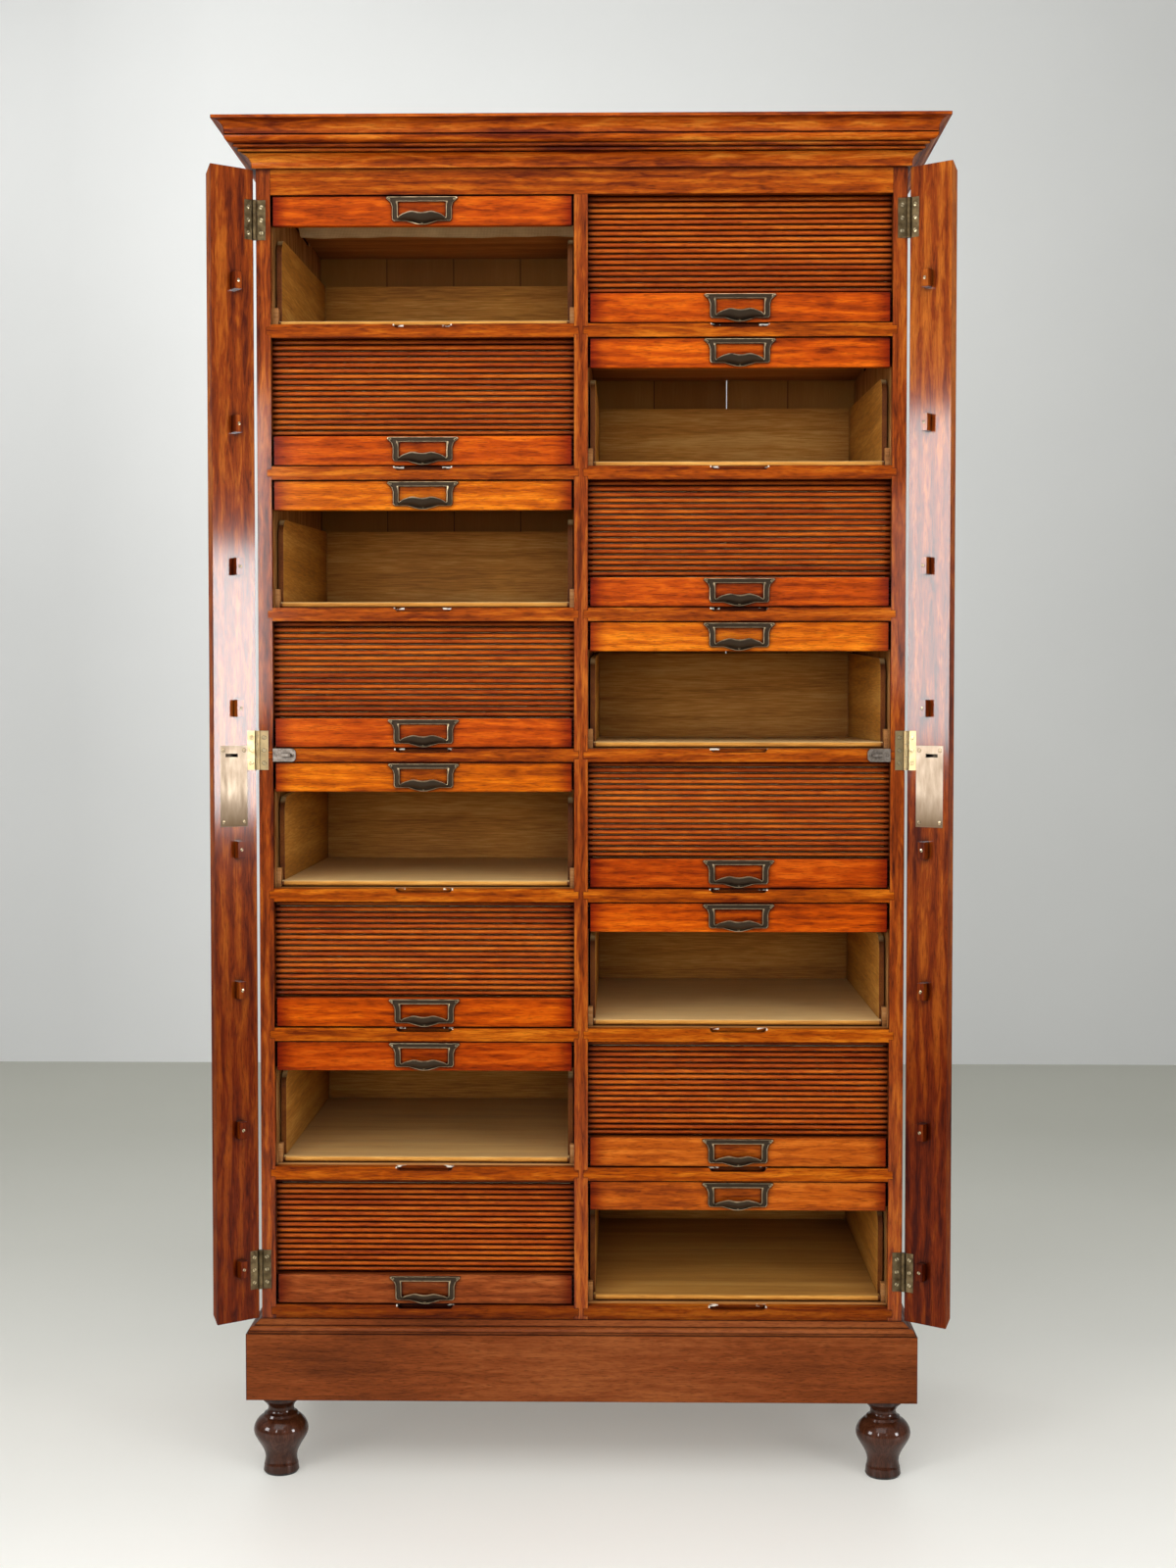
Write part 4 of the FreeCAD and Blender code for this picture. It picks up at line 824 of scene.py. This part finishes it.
def stagePlane(name, corners, axis):
    # plain pale paint, a flat sheet between four corners, darker away from the light along one axis
    mesh = bpy.data.meshes.new(name)
    mesh.from_pydata(corners, [], [(0, 1, 2, 3)])
    plane = bpy.data.objects.new(name, mesh)
    bpy.context.scene.collection.objects.link(plane)
    material, tree, shader = newMaterial(name)
    coords = addNode(tree, "TexCoord", out="Object")
    along = addNode(tree, "SeparateXYZ", (coords,), out=axis)
    tones = studio[name]
    first, last = tones[0][0], tones[-1][0]
    fade = addNode(tree, "MapRange", (along, first, last))
    tone = addNode(tree, "ValToRGB", (fade,),
                   stops=[((place - first) / (last - first), colour) for place, colour in tones])
    cloud = addNode(tree, "TexNoise", {"Vector": coords, **studio["mottle"]})
    cloud = addNode(tree, "ValToRGB", (cloud,), stops=studio["mottleStops"])
    tone = addNode(tree, "Mix", {"Factor": 1.0, "A": tone, "B": cloud}, **multiply)
    ray = addNode(tree, "LightPath").node.outputs
    seen = ray["Is Camera Ray"]
    for other in ("Is Glossy Ray", "Is Transmission Ray"):
        seen = addNode(tree, "Math", (seen, ray[other]), operation="MAXIMUM")
    glow = addNode(tree, "Math", (seen, studio[name + "Lift"]), operation="MULTIPLY")
    feed(tree, shader, {"Base Color": tone, "Roughness": studio[name + "Roughness"], "Emission Color": tone,
                        "Emission Strength": glow})
    # clear from behind, so that it hides nothing from the far side
    behind = addNode(tree, "NewGeometry", out="Backfacing")
    clear = addNode(tree, "BsdfTransparent")
    surface = addNode(tree, "MixShader", (behind, shader.outputs[0], clear))
    feed(tree, tree.nodes["Material Output"], {"Surface": surface})
    mesh.materials.append(material)


wallY, wallZ, far = studio["wallY"], studio["wallHeight"], studio["reach"]
stagePlane("floor", [(-far, -far, 0), (far, -far, 0), (far, wallY, 0), (-far, wallY, 0)], "Y")
stagePlane("wall", [(-far, wallY, 0), (far, wallY, 0), (far, wallY, wallZ), (-far, wallY, wallZ)], "X")

lamps = {  # place, aim, width, height, watts, and whether it lights surfaces, gloss or both
    "keyLight": ((-0.6, -3.2, 3.5), (0, 0, 1.0), 3.0, 2.0, 37, "both"),
    "topLight": ((0, -1.7, 3.3), (0, -1.2, 0), 3.0, 1.2, 16, "surface"),
    "frontFill": ((0.1, -2.6, 2.35), (0, 0, 1.2), 3.6, 0.9, 20, "surface"),
    "lowFill": ((-0.2, -3.5, 1.3), (0, 0, 1.1), 2.0, 0.9, 30, "surface"),
    "leftFill": ((-2.0, -2.7, 1.55), (0, 0, 1.0), 0.9, 1.2, 22, "surface"),
    "rightFill": ((2.2, -2.7, 1.55), (0, 0, 1.0), 0.9, 1.2, 22, "surface"),
    "overheadStrip": ((-0.2, -1.7, 3.2), (0, -0.2, 1.0), 2.6, 0.35, 5, "gloss"),
    "leftPanel": ((-2.6, -1.58, 1.36), (0, -0.3, 1.1), 0.9, 0.95, 42, "gloss"),
    "rightPanel": ((2.8, -1.86, 1.08), (0, -0.2, 1.0), 0.7, 0.8, 40, "gloss"),
    "leftWindow": ((-1.0, -3.0, 1.4), (-0.4, 0, 1.2), 0.24, 0.8, 10, "gloss"),
    "rightWindow": ((0.85, -3.0, 1.3), (0.4, 0, 1.2), 0.2, 0.5, 1.2, "gloss"),
    "wallLight": ((-0.7, 1.2, 2.9), (-0.3, 3.0, 0.7), 4.0, 1.0, 37, "both")}
for name, (place, aim, width, height, watts, reach) in lamps.items():
    light = bpy.data.lights.new(name, "AREA")
    light.shape = "RECTANGLE"
    light.size, light.size_y, light.energy = width, height, watts
    lamp = bpy.data.objects.new(name, light)
    bpy.context.scene.collection.objects.link(lamp)
    lamp.location = place
    away = np.array(place) - np.array(aim)
    lamp.rotation_euler = (math.acos(away[2] / np.linalg.norm(away)), 0, math.atan2(away[0], -away[1]))
    lamp.visible_diffuse = reach != "gloss"
    lamp.visible_glossy = reach != "surface"

# pale room: an even level, dimmer below the horizon and brighter overhead; heights are of the way one looks
room = dict(colour="#f6f7f8", level=0.2, lowHeights=(-0.1, 0.25), lowLeast=0.4, overHeights=(0.2, 0.9),
            overMost=0.25)
world = bpy.data.worlds.new("studio")
bpy.context.scene.world = world
world.use_nodes = True
tree = world.node_tree
height = addNode(tree, "SeparateXYZ", (addNode(tree, "TexCoord", out="Generated"),), out="Z")
over = addNode(tree, "MapRange", (height, *room["overHeights"], 0, room["overMost"]))
low = addNode(tree, "MapRange", (height, *room["lowHeights"], room["lowLeast"]))
level = addNode(tree, "Math", (low, room["level"], over), operation="MULTIPLY_ADD")
feed(tree, tree.nodes["Background"], {"Strength": level, "Color": linear(room["colour"])})

# place in mm, angles in degrees, focal length and picture height in pixels
photo = dict(place=(57.9, -2988.58, 1016.74), pitch=2.1497, yaw=1.0058, focal=2187.24, tall=1600, sensor=36)
camera = bpy.data.objects.new("camera", bpy.data.cameras.new("camera"))
bpy.context.scene.collection.objects.link(camera)
camera.data.sensor_fit = "VERTICAL"
camera.data.sensor_height = photo["sensor"]
camera.data.lens = photo["focal"] / photo["tall"] * photo["sensor"]
camera.location = [value * mm for value in photo["place"]]
camera.rotation_euler = (math.radians(90 - photo["pitch"]), 0, math.radians(photo["yaw"]))
bpy.context.scene.camera = camera
bpy.context.scene.view_settings.view_transform = "Standard"
print("studio and camera set")
